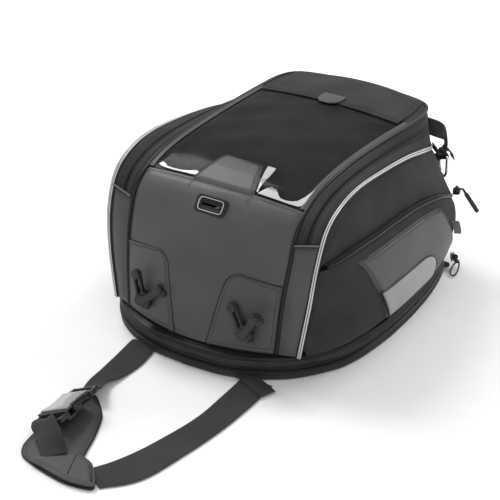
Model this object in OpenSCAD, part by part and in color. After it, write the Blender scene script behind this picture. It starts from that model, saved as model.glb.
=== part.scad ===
// Soft tank bag: shaped body, zip-open lid with map pocket, side pockets, harness strap with buckle.
// Millimetres. Origin at the centre of the underside, -Y to the handlebar, +Y to the rider, +Z up.

/* [Bag] */
// Width of the base outline
bag_w = 316; // [300:2:330]
// Length of the base outline
bag_l = 396; // [380:2:410]
// Height of the closed bag
bag_h = 196; // [186:2:206]
// Thickness of the padded panels
panel_t = 2.5; // [2:0.1:3]
// Radius of the black edge piping
piping_r = 2.6; // [2:0.1:3]
// Radius of the reflective piping
reflective_r = 2; // [1.5:0.1:2.4]

/* [Base] */
// Height of the lower band, below the base zip
lower_band_h = 10; // [8:0.5:11]
// Height at which the upper band starts
upper_band_z = 16; // [15:0.5:17]
// Height of the top of the base
base_h = 27; // [26:0.5:28]

/* [Map pocket] */
// Depth of the pocket under the clear window
map_depth = 11; // [10:0.5:13]

/* [Cable port] */
// Width of the port rim
port_w = 38; // [34:1:42]
// Height of the port rim
port_h = 20; // [18:1:24]
// Width of the port opening
port_hole_w = 24; // [20:1:28]
// Height of the port opening
port_hole_h = 10; // [9:0.5:12]

/* [Webbing] */
// Thickness of the strap webbing
web_t = 1.8; // [1.5:0.1:2.2]
// Width of the carry handle webbing
handle_w = 22; // [18:1:25]

/* [Buckle] */
// Width of the buckle
buckle_w = 38; // [36:1:42]
// Length of the buckle housing
housing_l = 36; // [34:1:40]
// Thickness of the buckle
buckle_t = 12; // [11:0.5:14]

/* [Hidden] */
$fn = 48;

size = [bag_w / 316, bag_l / 396, bag_h / 196];
function sized(rows) = [for (p = rows) [for (k = [0:len(p) - 1]) p[k] * size[k]]];

// Right half of each seam line, from the front foot (station 0) to the middle of the rear (station 12).
LID_EDGE = sized([
    [95, -171, 29], [98.5, -166, 85], [101, -157, 126], [101, -143, 162], [99.5, -115, 181],
    [98, -75, 190], [97, -15, 193], [98, 50, 192], [99, 100, 190], [96, 140, 189],
    [82, 162, 188], [45, 171, 188], [0, 174, 188]
]);
WALL_TOP = sized([
    [118, -163, 29], [127, -159, 88], [131, -152, 132], [132, -136, 167], [132, -108, 184],
    [131, -70, 190], [129, -15, 186], [125, 45, 177], [118, 97, 163], [107, 136, 150],
    [84, 161, 143], [45, 171, 140], [0, 174, 139]
]);
WALL_FOOT = sized([
    [118, -163, 29], [134, -142, 29], [146, -112, 29], [152, -80, 29], [154, -50, 29],
    [155, -20, 29], [154, 15, 29], [151, 60, 29], [143, 105, 29], [128, 142, 29],
    [100, 168, 29], [50, 182, 29], [0, 186, 29]
]);
POCKET_TOP = sized([
    [131, -151, 133], [136, -126, 135], [139, -95, 136], [141, -65, 135.5], [142, -20, 134.5],
    [142, 30, 131], [141.5, 80, 121.5], [138, 114, 107.5], [133, 148, 91]
]);
BASE = sized([
    [0, -204], [50, -199], [93, -180], [123, -153], [148, -108], [157, -45],
    [156, 25], [148, 90], [132, 138], [98, 172], [50, 188], [0, 192]
]);
// How far the top panel stands proud of its edges at the middle, for each station.
CROWN = [25, 21, 17, 8, 5.5, 6, 6.5, 6.5, 6, 5, 4];

HINGE_STATION = 2.6;
HINGE_GAP = 0.05;
LAST = 12;
REAR_CORNER = 9.4;
POCKET_START = 2.1;
POCKET_END = 9.6;
WINDOW_START = 3.75;
WINDOW_END = 7.9;
ZIP_SHARE = 0.455;

function unit(v) = v / norm(v);
function mixed(a, b, s) = a * (1 - s) + b * s;
function clamped(s) = max(0, min(1, s));
function eased(s) = let (c = clamped(s)) c * c * (3 - 2 * c);
function bend(a, b, c, d, u) =
    (2 * b + (c - a) * u + (2 * a - 5 * b + 4 * c - d) * u * u
     + (3 * b - a - 3 * c + d) * u * u * u) / 2;
// Smooth curve through rows of points; it crosses the middle plane square at the last row.
function along(rows, t) = let (
    last = len(rows) - 1, i = min(floor(t), last - 1), q = rows[last - 1],
    before = i > 0 ? rows[i - 1] : 2 * rows[0] - rows[1],
    after = i + 2 <= last ? rows[i + 2]
        : abs(rows[last][0]) < 0.01 ? [for (k = [0:len(q) - 1]) k == 0 ? -q[0] : q[k]]
        : 2 * rows[last] - q
) bend(before, rows[i], rows[i + 1], after, t - i);

function top_point(t, v) = let (
    p = along(LID_EDGE, t),
    d = along(LID_EDGE, t + 0.05) - along(LID_EDGE, max(t - 0.05, 0)),
    n = unit([0, -d[2], d[1]]),
    bow = eased((t - 7.5) / 2.5) * 12 * (1 - pow(abs(v), 2.2))
) [v * p[0], p[1] + bow, p[2]] + n * lookup(t, [for (k = [0:10]) [k, CROWN[k]]]) * (1 - v * v);
function gusset_point(t, u) = mixed(along(LID_EDGE, t), along(WALL_TOP, t), u);
function outward(t) = let (
    d = along(WALL_FOOT, min(t + 0.1, LAST)) - along(WALL_FOOT, max(t - 0.1, 0))
) unit([d[1], -d[0], 0]);
function wall_point(t, w) =
    mixed(along(WALL_TOP, t), along(WALL_FOOT, t), w) + outward(t) * 16 * w * (1 - w);
function pocket_top(t) = t <= POCKET_START ? along(WALL_TOP, t)
    : along(POCKET_TOP, (t - POCKET_START) / (POCKET_END - POCKET_START) * 8);
function pocket_swell(t) = eased((t - 0.6) / 3) * (1 - eased((t - 8.7) / 0.9));
function pocket_lip(t) = pocket_top(t) + (outward(t) * 7 - [0, 0, 3]) * pocket_swell(t);
function pocket_point(t, w) =
    mixed(pocket_lip(t), along(WALL_FOOT, t), w) + outward(t) * 32 * w * (1 - w) * pocket_swell(t);
function pocket_back_point(t, w) =
    mixed(pocket_top(t), along(WALL_FOOT, t), w) - outward(t) * (3 + 20 * w * (1 - w));

function steps(a, b, n) = [for (k = [0:n]) a + (b - a) * k / n];
function left(p) = [-p[0], p[1], p[2]];
function last_of(rows) = len(rows) - 1;

function normal_at(g, i, j) = unit(cross(
    g[i][min(j + 1, last_of(g[0]))] - g[i][max(j - 1, 0)],
    g[min(i + 1, last_of(g))][j] - g[max(i - 1, 0)][j]));

// A sewn panel. Seen from outside, the grid's rows follow each other clockwise from its columns.
// The panel's outer face is lift above the grid, and its inner face is thick below that.
module panel(g, thick = panel_t, lift = 0) {
    m = len(g);
    n = len(g[0]);
    outer = [for (i = [0:m - 1]) for (j = [0:n - 1]) g[i][j] + normal_at(g, i, j) * lift];
    inner = [for (i = [0:m - 1]) for (j = [0:n - 1])
        g[i][j] + normal_at(g, i, j) * (lift - thick)];
    far = m * n;
    skin = [for (i = [0:m - 2]) for (j = [0:n - 2]) let (a = i * n + j)
        each [[a, a + n + 1, a + 1], [a, a + n, a + n + 1]]];
    back = [for (f = skin) [f[2] + far, f[1] + far, f[0] + far]];
    rim = concat(
        [for (j = [0:n - 2]) j],
        [for (i = [0:m - 2]) i * n + n - 1],
        [for (j = [n - 1:-1:1]) (m - 1) * n + j],
        [for (i = [m - 1:-1:1]) i * n]);
    edge = [for (k = [0:len(rim) - 1]) let (a = rim[k], b = rim[(k + 1) % len(rim)])
        each [[a, b + far, a + far], [a, b, b + far]]];
    polyhedron(concat(outer, inner), concat(skin, back, edge), convexity = 8);
}

// A round cord sewn along a seam.
module piping(path, r, sides = 6) {
    m = len(path);
    rings = [for (i = [0:m - 1]) let (
        d = unit(path[min(i + 1, m - 1)] - path[max(i - 1, 0)]),
        a = unit(cross(d, path[i] - [0, 0, 40])), b = cross(d, a)
    ) for (k = [0:sides - 1]) path[i] + r * (a * cos(k * 360 / sides) + b * sin(k * 360 / sides))];
    walls = [for (i = [0:m - 2]) for (k = [0:sides - 1]) let (
        a = i * sides + k, b = i * sides + (k + 1) % sides
    ) each [[a, a + sides, b + sides], [a, b + sides, b]]];
    caps = [[for (k = [0:sides - 1]) k], [for (k = [sides - 1:-1:0]) (m - 1) * sides + k]];
    polyhedron(rings, concat(walls, caps), convexity = 6);
}

// A flat band swept along a path, its width lying along the direction given for each point.
module band(path, across, wide, thick) {
    m = len(path);
    corners = [for (i = [0:m - 1]) let (
        d = unit(path[min(i + 1, m - 1)] - path[max(i - 1, 0)]),
        a = unit(across[i] - d * (across[i] * d)), b = cross(d, a)
    ) for (s = [[1, 1], [-1, 1], [-1, -1], [1, -1]])
        path[i] + a * s[0] * wide / 2 + b * s[1] * thick / 2];
    walls = [for (i = [0:m - 2]) for (k = [0:3]) let (a = i * 4 + k, b = i * 4 + (k + 1) % 4)
        each [[a, a + 4, b + 4], [a, b + 4, b]]];
    caps = [[0, 1, 2, 3], [(m - 1) * 4 + 3, (m - 1) * 4 + 2, (m - 1) * 4 + 1, (m - 1) * 4]];
    polyhedron(corners, concat(walls, caps), convexity = 6);
}

module both_sides() {
    children();
    mirror([1, 0, 0]) children();
}

// A whole loop over the rear: a right half, then the same half mirrored back.
function loop_rows(start, half, columns) = concat(
    [for (t = steps(start, LAST, half)) [for (u = columns) gusset_point(t, u)]],
    [for (k = [1:half]) let (t = LAST - (LAST - start) * k / half)
        [for (u = columns) left(gusset_point(t, u))]]);
function loop_path(start, half, u) = [for (row = loop_rows(start, half, [u])) row[0]];

// ---- Base ----

function outline(inset) = let (
    half = [for (t = steps(0, 11, 44)) along(BASE, t)],
    ring = concat(half, [for (k = [43:-1:1]) [-half[k][0], half[k][1]]]),
    n = len(ring)
) [for (k = [0:n - 1]) let (d = ring[(k + 1) % n] - ring[(k + n - 1) % n])
    ring[k] + unit([-d[1], d[0]]) * inset];

module slab(inset, z0, z1) {
    translate([0, 0, z0]) linear_extrude(z1 - z0) polygon(outline(inset));
}

module hoop(inset, thick, z0, z1) {
    translate([0, 0, z0]) linear_extrude(z1 - z0) difference() {
        polygon(outline(inset));
        polygon(outline(inset + thick));
    }
}

module base_panel() { color("#202022") slab(4.6, 0, 2.5); }
module base_board() { color("#3a3a3c") slab(7, 2.6, 5); }
module base_lower_band() { color("#26262a") hoop(2, 2.5, 0, lower_band_h); }
module base_lower_piping() { color("#1c1c1e") hoop(0, 2, lower_band_h - 3.5, lower_band_h); }
module base_zip_tape() { color("#18181a") hoop(3, 1.5, lower_band_h, upper_band_z); }
module base_upper_band() { color("#26262a") hoop(1.5, 2.5, upper_band_z, base_h - 3); }
module base_upper_piping() { color("#1c1c1e") hoop(1, 4, base_h - 3, base_h); }

// ---- Body shell ----

module front_panel_lower() {
    color("#36363a") panel([for (t = steps(0, HINGE_STATION - HINGE_GAP, 8))
        [for (v = steps(-1, 1, 12)) top_point(t, v * 0.975)]]);
}

module front_corner() {
    color("#36363a") panel([for (t = steps(0, HINGE_STATION - HINGE_GAP, 8))
        [for (u = steps(0.06, 0.94, 3)) gusset_point(t, u)]]);
}

module side_wall() {
    color("#2a2a2d") panel([for (t = steps(POCKET_START + 0.3, REAR_CORNER, 16))
        [for (s = steps(0.02, 0.98, 3)) mixed(along(WALL_TOP, t), pocket_top(t), s)]]);
}

module rear_wall() {
    rows = [for (t = steps(REAR_CORNER + 0.1, LAST, 6)) [for (w = steps(0.02, 1, 5)) wall_point(t, w)]];
    color("#2a2a2d") panel(concat(rows, [for (k = [1:6]) [for (p = rows[6 - k]) left(p)]]));
}

module zip_gusset() {
    color("#2a2a2d") panel(loop_rows(HINGE_STATION + HINGE_GAP, 26, [0.5, 0.75, 0.97]));
}

module main_zip() {
    color("#151517") piping(loop_path(HINGE_STATION + 0.1, 30, ZIP_SHARE), 1.2);
}

module front_piping() {
    color("#161618") both_sides()
        piping([for (t = steps(0, HINGE_STATION - HINGE_GAP, 10)) along(LID_EDGE, t)], piping_r);
}

module reflective_piping() {
    color("#b9bbbe") piping(loop_path(0, 40, 1), reflective_r);
}

module reinforcement_patches() {
    color("#3a3a3e") both_sides() panel([for (t = steps(0.02, 1.45, 6))
        [for (s = steps(0, 1, 4)) top_point(t, mixed(0.22 + 0.18 * t, 0.95, s))]], 1.2, 1.4);
}

// ---- Lashing hooks ----

HOOK = [66, -186.5, 50];
HOOK_LEAN = 8;

module hook_place() {
    translate([for (k = [0:2]) HOOK[k] * size[k]]) rotate([-HOOK_LEAN, 0, -7]) children();
}

// Outline of the hook: two splayed arms with knobbed tips, the left one with a cord slot.
module hook_outline() {
    difference() {
        union() {
            circle(d = 13);
            for (lean = [-34, 34]) rotate(lean) {
                translate([-3.5, 0]) square([7, 34]);
                translate([0, 34]) circle(d = 8);
            }
        }
        circle(d = 4);
        rotate(34) translate([-1.7, 14]) square([3.4, 18]);
    }
}

module lashing_hook() {
    rotate([90, 0, 0]) translate([0, 0, 2.5]) linear_extrude(6.5) hook_outline();
    difference() {
        translate([-11, -3, -7]) cube([22, 3, 20]);
        rotate([90, 0, 0]) translate([0, 0, -1]) cylinder(d = 4, h = 12);
    }
}

module lashing_hooks() { color("#1a1a1c") both_sides() hook_place() lashing_hook(); }

module hook_rivets() {
    color("#2c2c2e") both_sides() hook_place() rotate([90, 0, 0]) union() {
        translate([0, 0, -2.5]) cylinder(d = 3.9, h = 12);
        translate([0, 0, 9.1]) cylinder(d = 7, h = 1.2);
    }
}

// ---- Side pockets ----

module pocket_shell() {
    color("#2c2c2f") panel([for (t = steps(0.35, POCKET_END, 24))
        [for (w = steps(0.02, 1, 6)) pocket_point(t, w)]], 2);
}

module pocket_back() {
    color("#232326") panel([for (t = steps(0.5, POCKET_END - 0.2, 18))
        [for (w = steps(0.04, 0.98, 4)) pocket_back_point(t, w)]], 2);
}

module pocket_zip() {
    color("#1b1b1d") panel([for (t = steps(POCKET_START + 0.5, POCKET_END - 0.5, 18))
        [for (s = steps(0.03, 0.95, 2)) mixed(pocket_top(t), pocket_lip(t), s)]], 1.4);
}

function face_front(w) = 3.83 + 0.46 * w;
function face_rear(w) = 7.4 + 1.5 * w;

module pocket_face() {
    color("#46464a") panel([for (s = steps(0, 1, 14))
        [for (w = steps(0.1, 0.98, 5)) pocket_point(mixed(face_front(w), face_rear(w), s), w)]], 1, 1.2);
}

module badge() {
    panel([for (s = steps(0, 1, 8)) [for (w = steps(0, 1, 3))
        pocket_point(mixed(4.2, 7.1 - 0.5 * (1 - w) * (1 - w), s), mixed(0.58, 0.96, w))]], 0.7, 2);
}

module reflective_badges() { color("#8e8e92") both_sides() badge(); }

// A folded cloth label that stands out of the seam behind the pocket face.
module side_label() {
    color("#8a8a8a") panel([for (w = steps(0.36, 0.64, 4))
        [for (d = [2.6, 6.5, 11]) pocket_point(face_rear(w) + 0.15, w) + d * [0.93, 0.37, 0]]], 1.2);
}

// ---- Lid ----

module lid_front_panel() {
    color("#36363a") difference() {
        panel([for (t = steps(HINGE_STATION + HINGE_GAP, WINDOW_START - 0.05, 6))
            [for (v = steps(-0.975, 0.975, 14)) top_point(t, v)]]);
        port_place() linear_extrude(16, center = true) port_outline(port_hole_w + 6, port_hole_h + 4);
    }
}

module map_window() {
    color("#9aa0a6", 0.4) panel([for (t = steps(WINDOW_START, WINDOW_END, 14))
        [for (v = steps(-0.97, 0.97, 10)) top_point(t, v)]], 0.8);
}

module window_tab() {
    color("#36363a") panel([for (t = steps(WINDOW_START - 0.1, 4.8, 5)) let (
        s = 0.38 - 0.135 * eased((t - WINDOW_START) / 0.9)
    ) [for (v = steps(-s, s, 6)) top_point(t, v)]], 1.2, 1.5);
}

module map_pocket_floor() {
    color("#202022") panel([for (t = steps(WINDOW_START - 0.1, WINDOW_END + 0.5, 12))
        [for (v = steps(-0.93, 0.93, 8)) top_point(t, v)]], 1.2, -map_depth);
}

module lid_rear_panel() {
    color("#2e2e31") panel([for (t = steps(WINDOW_END + 0.2, 10, 8))
        [for (v = steps(-0.97, 0.97, 12)) top_point(t, v)]]);
}

module lid_gusset() {
    color("#2a2a2d") panel(loop_rows(HINGE_STATION + HINGE_GAP, 26, [0.06, 0.22, 0.37]));
}

module lid_piping() {
    color("#161618") piping(loop_path(HINGE_STATION + HINGE_GAP, 34, 0), piping_r);
}

// ---- Cable port ----

PORT = top_point(3.02, 0);
PORT_TILT = 53;

module port_place() { translate(PORT) rotate([PORT_TILT, 0, 0]) children(); }

module port_outline(w, h) {
    r = h * 0.36;
    for (x = [-1, 1]) for (y = [-1, 1]) translate([x * (w / 2 - r), y * (h / 2 - r)]) circle(r);
    square([w, h - 2 * r], center = true);
    square([w - 2 * r, h], center = true);
}

module port_ring(w, h, z0, z1) {
    translate([0, 0, z0]) linear_extrude(z1 - z0) difference() {
        port_outline(w, h);
        port_outline(port_hole_w, port_hole_h);
    }
}

module cable_port_rim() {
    color("#2a2a2c") port_place() {
        port_ring(port_w, port_h, 0.4, 2.6);
        port_ring(port_hole_w + 5, port_hole_h + 3, -2.8, 0.4);
    }
}

module cable_port_backing() { color("#202022") port_place() port_ring(port_w, port_h, -4.2, -2.8); }

// ---- Map flap ----

FLAP_START = 7.7;
FLAP_END = 9.5;

module map_flap() {
    color("#303034") panel([for (t = steps(FLAP_START, FLAP_END, 6))
        [for (v = steps(-0.9, 0.9, 10)) top_point(t, v)]], 1.4, 2.4);
}

module flap_pull() {
    color("#28282b") panel([for (t = steps(FLAP_START - 0.15, FLAP_START + 0.35, 3))
        [for (v = steps(-0.13, 0.13, 3)) top_point(t, v)]], 1, 3.5);
}

// ---- Zip sliders ----

// Body of a slider, standing on +Z and running along Y.
module slider() {
    translate([-4.5, -6, 0]) cube([9, 12, 4]);
}

// Eye that carries a puller's wire along X, reaching back to its slider.
module bail(back) {
    difference() {
        translate([-1.5, -2.3, -2.2]) cube([3, 2.3 + back, 4.4]);
        translate([-5, 0, 0]) rotate([0, 90, 0]) cylinder(d = 2.4, h = 10);
    }
}

// Puller on a wire along X, reaching along -Y.
module puller(reach, wide) {
    translate([-3.5, 0, 0]) rotate([0, 90, 0]) cylinder(d = 1.6, h = 7);
    for (x = [-3.5, 2]) translate([x, -7, -0.8]) cube([1.5, 7, 1.6]);
    difference() {
        translate([-wide / 2, -reach, -1.5]) cube([wide, reach - 6.4, 3]);
        translate([-wide / 4, -reach + 3, -2]) cube([wide / 2, 1.2, 4]);
    }
    translate([0, -reach, -1.5]) cylinder(d = wide, h = 3);
}

MAIN_SLIDER = gusset_point(11.8, ZIP_SHARE) + [0, 3.4, 0];
WIRE_H = 6;

module main_slider_place() {
    translate(MAIN_SLIDER) rotate([-90, 0, 0]) rotate([0, 0, 90]) children();
}
module main_slider() {
    color("#1c1c1e") main_slider_place() {
        slider();
        translate([0, 0, WIRE_H]) bail(3);
    }
}
module main_puller() {
    color("#26262a") main_slider_place() translate([0, 0, WIRE_H]) rotate([-4, 0, 0]) puller(30, 7);
}

POCKET_SLIDER = pocket_top(9.4) + [4.5, 5, 2];
POCKET_WIRE = POCKET_SLIDER + [6.1, 3.5, 4.5];

module pocket_wire_place() { translate(POCKET_WIRE) rotate([0, 0, 120]) children(); }
module pocket_slider() {
    color("#1c1c1e") union() {
        translate(POCKET_SLIDER) rotate([0, 0, 20]) slider();
        pocket_wire_place() bail(8);
    }
}
module pocket_puller() { color("#26262a") pocket_wire_place() rotate([57, 0, 0]) puller(30, 8); }

BASE_SLIDER = [for (k = [0:2]) [137.6, 143.5, 13][k] * size[k]];
BASE_TURN = 37;
LOOP_TURN = -12;

// Frame of the base slider: X outward, Y along the zip.
module base_slider_place() { translate(BASE_SLIDER) rotate([0, 0, BASE_TURN]) children(); }
module base_slider() {
    color("#1c1c1e") base_slider_place() {
        rotate([0, 90, 0]) slider();
        translate([WIRE_H, 0, 0]) rotate([-90, 0, 90]) bail(3);
    }
}

// A short lug on the wire and a long loop of thin cord that lies where it drops.
module base_puller() {
    color("#1a1a1c") base_slider_place() translate([WIRE_H, 0, 0]) {
        translate([0, 3.5, 0]) rotate([90, 0, 0]) cylinder(d = 1.6, h = 7);
        for (y = [-3.5, 2]) translate([-0.8, y, -11.5]) cube([1.6, 1.5, 11.5]);
        translate([-0.8, -3.5, -12.3]) cube([5, 7, 2]);
        translate([3, 0, -12.3]) rotate([0, 0, LOOP_TURN - BASE_TURN]) linear_extrude(1.6)
            difference() {
                union() {
                    translate([-5, -20]) square([10, 20]);
                    translate([0, -20]) circle(5);
                    circle(5);
                }
                translate([-3.4, -20]) square([6.8, 20]);
                translate([0, -20]) circle(3.4);
            }
    }
}

// ---- Carry handle ----

RING_R = 12;
RING_WIRE = 1.75;
CORNER = [for (k = [0:2]) [107, 146, 136][k] * size[k]];
CORNER_TURN = 47;
RING_OUT = 12;

module corner_place() { translate(CORNER) rotate([0, 0, CORNER_TURN]) children(); }

module handle_anchor() {
    difference() {
        union() {
            translate([-2, -10, -12]) cube([3, 20, 24]);
            translate([0, -10, -2.3]) cube([RING_OUT, 20, 4.6]);
            translate([RING_OUT, 10, 0]) rotate([90, 0, 0]) cylinder(r = RING_WIRE + 2, h = 20);
        }
        translate([RING_OUT, 11, 0]) rotate([90, 0, 0]) cylinder(r = RING_WIRE + 0.35, h = 22);
    }
}

module d_ring() {
    color("#b0b2b5") corner_place() translate([RING_OUT, 0, 0]) union() {
        translate([0, RING_R, 0]) rotate([90, 0, 0]) cylinder(r = RING_WIRE, h = 2 * RING_R);
        for (y = [-RING_R, RING_R]) {
            translate([0, y, 0]) sphere(RING_WIRE);
            translate([0, y, -15]) cylinder(r = RING_WIRE, h = 15);
        }
        translate([0, 0, -15]) rotate([90, 0, 90]) rotate([0, 0, 180])
            rotate_extrude(angle = 180) translate([RING_R, 0]) circle(RING_WIRE);
    }
}

HANDLE = sized([[115, 155, 153], [113, 160, 153.5], [108, 170, 153], [99, 180, 150.5],
    [80, 189, 148], [50, 195, 147.5], [0, 198, 148]]);
module carry_handle() {
    half = [for (t = steps(0, 6, 18)) along(HANDLE, t)];
    path = concat(half, [for (k = [17:-1:0]) left(half[k])]);
    color("#222224") band(path, [for (p = path) [0, 0.05, 1]], handle_w, 2.4);
}

// ---- Harness ----

HARNESS_Y = -205.5 * size[1];
RIGHT_ROOT = [66, 101];
LEFT_ROOT = [-77, -44];

function flat(rows) = [for (p = rows) [p[0] * size[0], p[1] * size[1]]];

module cut_flat(rows, z0, z1) {
    translate([0, 0, z0]) linear_extrude(z1 - z0) polygon(flat(rows));
}

module webbing_anchors() {
    color("#202022") {
        both_sides() corner_place() handle_anchor();
        linear_extrude(web_t) difference() {
            union() for (r = [RIGHT_ROOT, LEFT_ROOT])
                translate([r[0] * size[0], HARNESS_Y]) square([(r[1] - r[0]) * size[0], 40]);
            polygon(outline(-0.3));
        }
    }
}

module harness_straps() {
    color("#222225") {
        cut_flat([[66, -206.8], [71, -263], [58, -335], [49, -374], [34, -407.6], [56, -434],
            [71, -426], [88, -394], [99, -319], [103, -234], [101, -206.8]], 0, web_t);
        cut_flat([[-77, -206.8], [-71, -240], [-65, -271], [-62, -300], [-35, -300], [-37, -267],
            [-38, -226], [-44, -206.8]], 0, web_t);
    }
}

PAD_H = 5;

module harness_pad() {
    color("#3c3c40") cut_flat([[-60, -308], [-42, -304], [-16, -329], [17, -404], [33, -407.6],
        [55, -434], [28, -441], [-7, -436], [-37, -428], [-47, -412], [-62, -336]], 0, PAD_H);
}

module pad_sleeve() {
    color("#3a3a3e") cut_flat([[-21, -404], [14, -402], [33, -408], [54, -434], [28, -440.5],
        [-7, -435.5], [-22, -431.5]], PAD_H + 0.1, PAD_H + 3.6);
}

BUCKLE = [-35 * size[0], -360 * size[1], PAD_H + 9];
BUCKLE_TURN = 3.8;
BUCKLE_ROLL = 25;
PIVOT = [12, 24.6];

// The buckle leans on its left edge.
module buckle_place() {
    translate(BUCKLE) rotate([0, 0, BUCKLE_TURN]) rotate([0, -BUCKLE_ROLL, 0]) children();
}

module buckle_web() {
    color("#222225") band(
        [[-6, -417, 10], [-14, -410.5, 12], [-25, -402, 16], [-35.4, -391.5, 19.4]],
        [[0.75, 0.66, 0], [0.8, 0.55, 0.1], [0.88, 0.3, 0.28], [0.904, 0.06, 0.423]], 26, web_t);
}

module buckle_housing() {
    color("#77797c") buckle_place() difference() {
        union() {
            translate([-buckle_w / 2, -20, 0]) cube([buckle_w, housing_l + 8, buckle_t]);
            translate([-buckle_w / 2, -33, 3]) cube([buckle_w, 13.5, 6]);
        }
        translate([-16, -12, 2.5]) cube([32, 60, buckle_t - 5]);
        translate([-buckle_w, -7, 2.5]) cube([2 * buckle_w, 60, buckle_t - 5]);
        translate([-14, -29, 2]) cube([28, 6, 8]);
    }
}

module buckle_male() {
    color("#2a2a2c") buckle_place() difference() {
        union() {
            translate([-17, 25, 3]) cube([34, 15, 6]);
            translate([-2.5, -8, 4]) cube([5, 34, 4]);
        }
        for (x = [-PIVOT[0], PIVOT[0]]) translate([x, PIVOT[1], 2]) cylinder(r = 2.8, h = 8);
        translate([-13.5, 31, 2]) cube([27, 5, 8]);
    }
}

// side is 1 for the right prong and -1 for the left.
module buckle_prong(side) {
    color("#2a2a2c") buckle_place() translate([side * PIVOT[0], PIVOT[1], 3.4]) {
        cylinder(r = 2.4, h = 5.2);
        translate([-2, -28, 0]) cube([4, 28, 5.2]);
        translate([side > 0 ? -2 : -6.5, -30, 0]) cube([8.5, 12, 5.2]);
    }
}

module buckle_male_web() {
    color("#222225") buckle_place() translate([-13, 36.5, 1.2]) cube([26, 17, 1.8]);
}

base_panel();
base_board();
base_lower_band();
base_lower_piping();
base_zip_tape();
base_upper_band();
base_upper_piping();
front_panel_lower();
both_sides() front_corner();  // front_corners
both_sides() side_wall();  // side_walls
rear_wall();
zip_gusset();
main_zip();
front_piping();
reflective_piping();
reinforcement_patches();
lashing_hooks();
hook_rivets();
pocket_shell();  // pocket_shell_right
mirror([1, 0, 0]) pocket_shell();  // pocket_shell_left
pocket_back();  // pocket_back_right
mirror([1, 0, 0]) pocket_back();  // pocket_back_left
both_sides() pocket_zip();  // pocket_zips
both_sides() pocket_face();  // pocket_faces
reflective_badges();
side_label();
webbing_anchors();
lid_front_panel();
map_window();
window_tab();
map_pocket_floor();
lid_rear_panel();
lid_gusset();
lid_piping();
cable_port_rim();
cable_port_backing();
map_flap();
flap_pull();
main_slider();  // main_slider_right
mirror([1, 0, 0]) main_slider();  // main_slider_left
main_puller();  // main_puller_right
mirror([1, 0, 0]) main_puller();  // main_puller_left
pocket_slider();  // pocket_slider_right
mirror([1, 0, 0]) pocket_slider();  // pocket_slider_left
pocket_puller();  // pocket_puller_right
mirror([1, 0, 0]) pocket_puller();  // pocket_puller_left
base_slider();
base_puller();
carry_handle();
d_ring();  // d_ring_right
mirror([1, 0, 0]) d_ring();  // d_ring_left
harness_straps();
harness_pad();
pad_sleeve();
buckle_web();
buckle_housing();
buckle_male();
buckle_male_web();
buckle_prong(1);  // buckle_prong_right
buckle_prong(-1);  // buckle_prong_left
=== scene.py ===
import math

import bmesh
import bpy
import numpy as np
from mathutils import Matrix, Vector


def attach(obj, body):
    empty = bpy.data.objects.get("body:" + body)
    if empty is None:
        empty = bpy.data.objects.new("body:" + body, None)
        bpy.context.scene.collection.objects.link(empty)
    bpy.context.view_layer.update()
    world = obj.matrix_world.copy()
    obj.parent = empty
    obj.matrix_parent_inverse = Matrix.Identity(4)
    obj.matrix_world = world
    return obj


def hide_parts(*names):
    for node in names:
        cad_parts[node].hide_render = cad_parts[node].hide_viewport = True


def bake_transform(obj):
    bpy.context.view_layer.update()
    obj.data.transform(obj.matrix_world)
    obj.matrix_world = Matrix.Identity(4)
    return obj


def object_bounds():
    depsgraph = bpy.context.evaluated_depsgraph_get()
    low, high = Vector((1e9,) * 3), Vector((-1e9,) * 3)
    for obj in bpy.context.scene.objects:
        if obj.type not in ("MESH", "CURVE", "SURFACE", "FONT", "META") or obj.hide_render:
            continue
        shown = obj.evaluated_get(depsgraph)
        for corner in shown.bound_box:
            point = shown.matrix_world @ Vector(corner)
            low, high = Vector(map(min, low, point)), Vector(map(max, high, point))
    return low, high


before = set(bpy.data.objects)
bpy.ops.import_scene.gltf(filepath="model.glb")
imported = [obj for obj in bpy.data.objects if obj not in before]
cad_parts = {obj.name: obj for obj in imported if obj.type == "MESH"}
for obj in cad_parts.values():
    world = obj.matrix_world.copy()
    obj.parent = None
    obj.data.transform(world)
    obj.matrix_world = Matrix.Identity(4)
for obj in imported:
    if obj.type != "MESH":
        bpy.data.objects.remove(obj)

CAD_BOX = [list(corner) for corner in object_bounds()]
MM = 0.001


def rows(*points):
    return np.array(points, float) * MM


# ---- Seam lines of the right half, from the front foot (station 0) to the middle of the rear (12) ----

LID_EDGE = rows((95, -171, 29), (98.5, -166, 85), (101, -157, 126), (101, -143, 162), (99.5, -115, 181),
                (98, -75, 190), (97, -15, 193), (98, 50, 192), (99, 100, 190), (96, 140, 189),
                (82, 162, 188), (45, 171, 188), (0, 174, 188))
WALL_TOP = rows((118, -163, 29), (127, -159, 88), (131, -152, 132), (132, -136, 167), (132, -108, 184),
                (131, -70, 190), (129, -15, 186), (125, 45, 177), (118, 97, 163), (107, 136, 150),
                (84, 161, 143), (45, 171, 140), (0, 174, 139))
WALL_FOOT = rows((118, -163, 29), (134, -142, 29), (146, -112, 29), (152, -80, 29), (154, -50, 29),
                 (155, -20, 29), (154, 15, 29), (151, 60, 29), (143, 105, 29), (128, 142, 29),
                 (100, 168, 29), (50, 182, 29), (0, 186, 29))
POCKET_TOP = rows((131, -151, 133), (136, -126, 135), (139, -95, 136), (141, -65, 135.5),
                  (142, -20, 134.5), (142, 30, 131), (141.5, 80, 121.5), (138, 114, 107.5), (133, 148, 91))
BASE = rows((0, -204), (50, -199), (93, -180), (123, -153), (148, -108), (157, -45),
            (156, 25), (148, 90), (132, 138), (98, 172), (50, 188), (0, 192))
CROWN = np.array([25, 21, 17, 8, 5.5, 6, 6.5, 6.5, 6, 5, 4]) * MM
LAST = 12
HINGE = 2.6
POCKET_START, POCKET_END = 2.1, 9.6
REAR_CORNER = 9.4
WINDOW_START, WINDOW_END = 3.75, 7.9
TAB_END = 4.78
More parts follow.
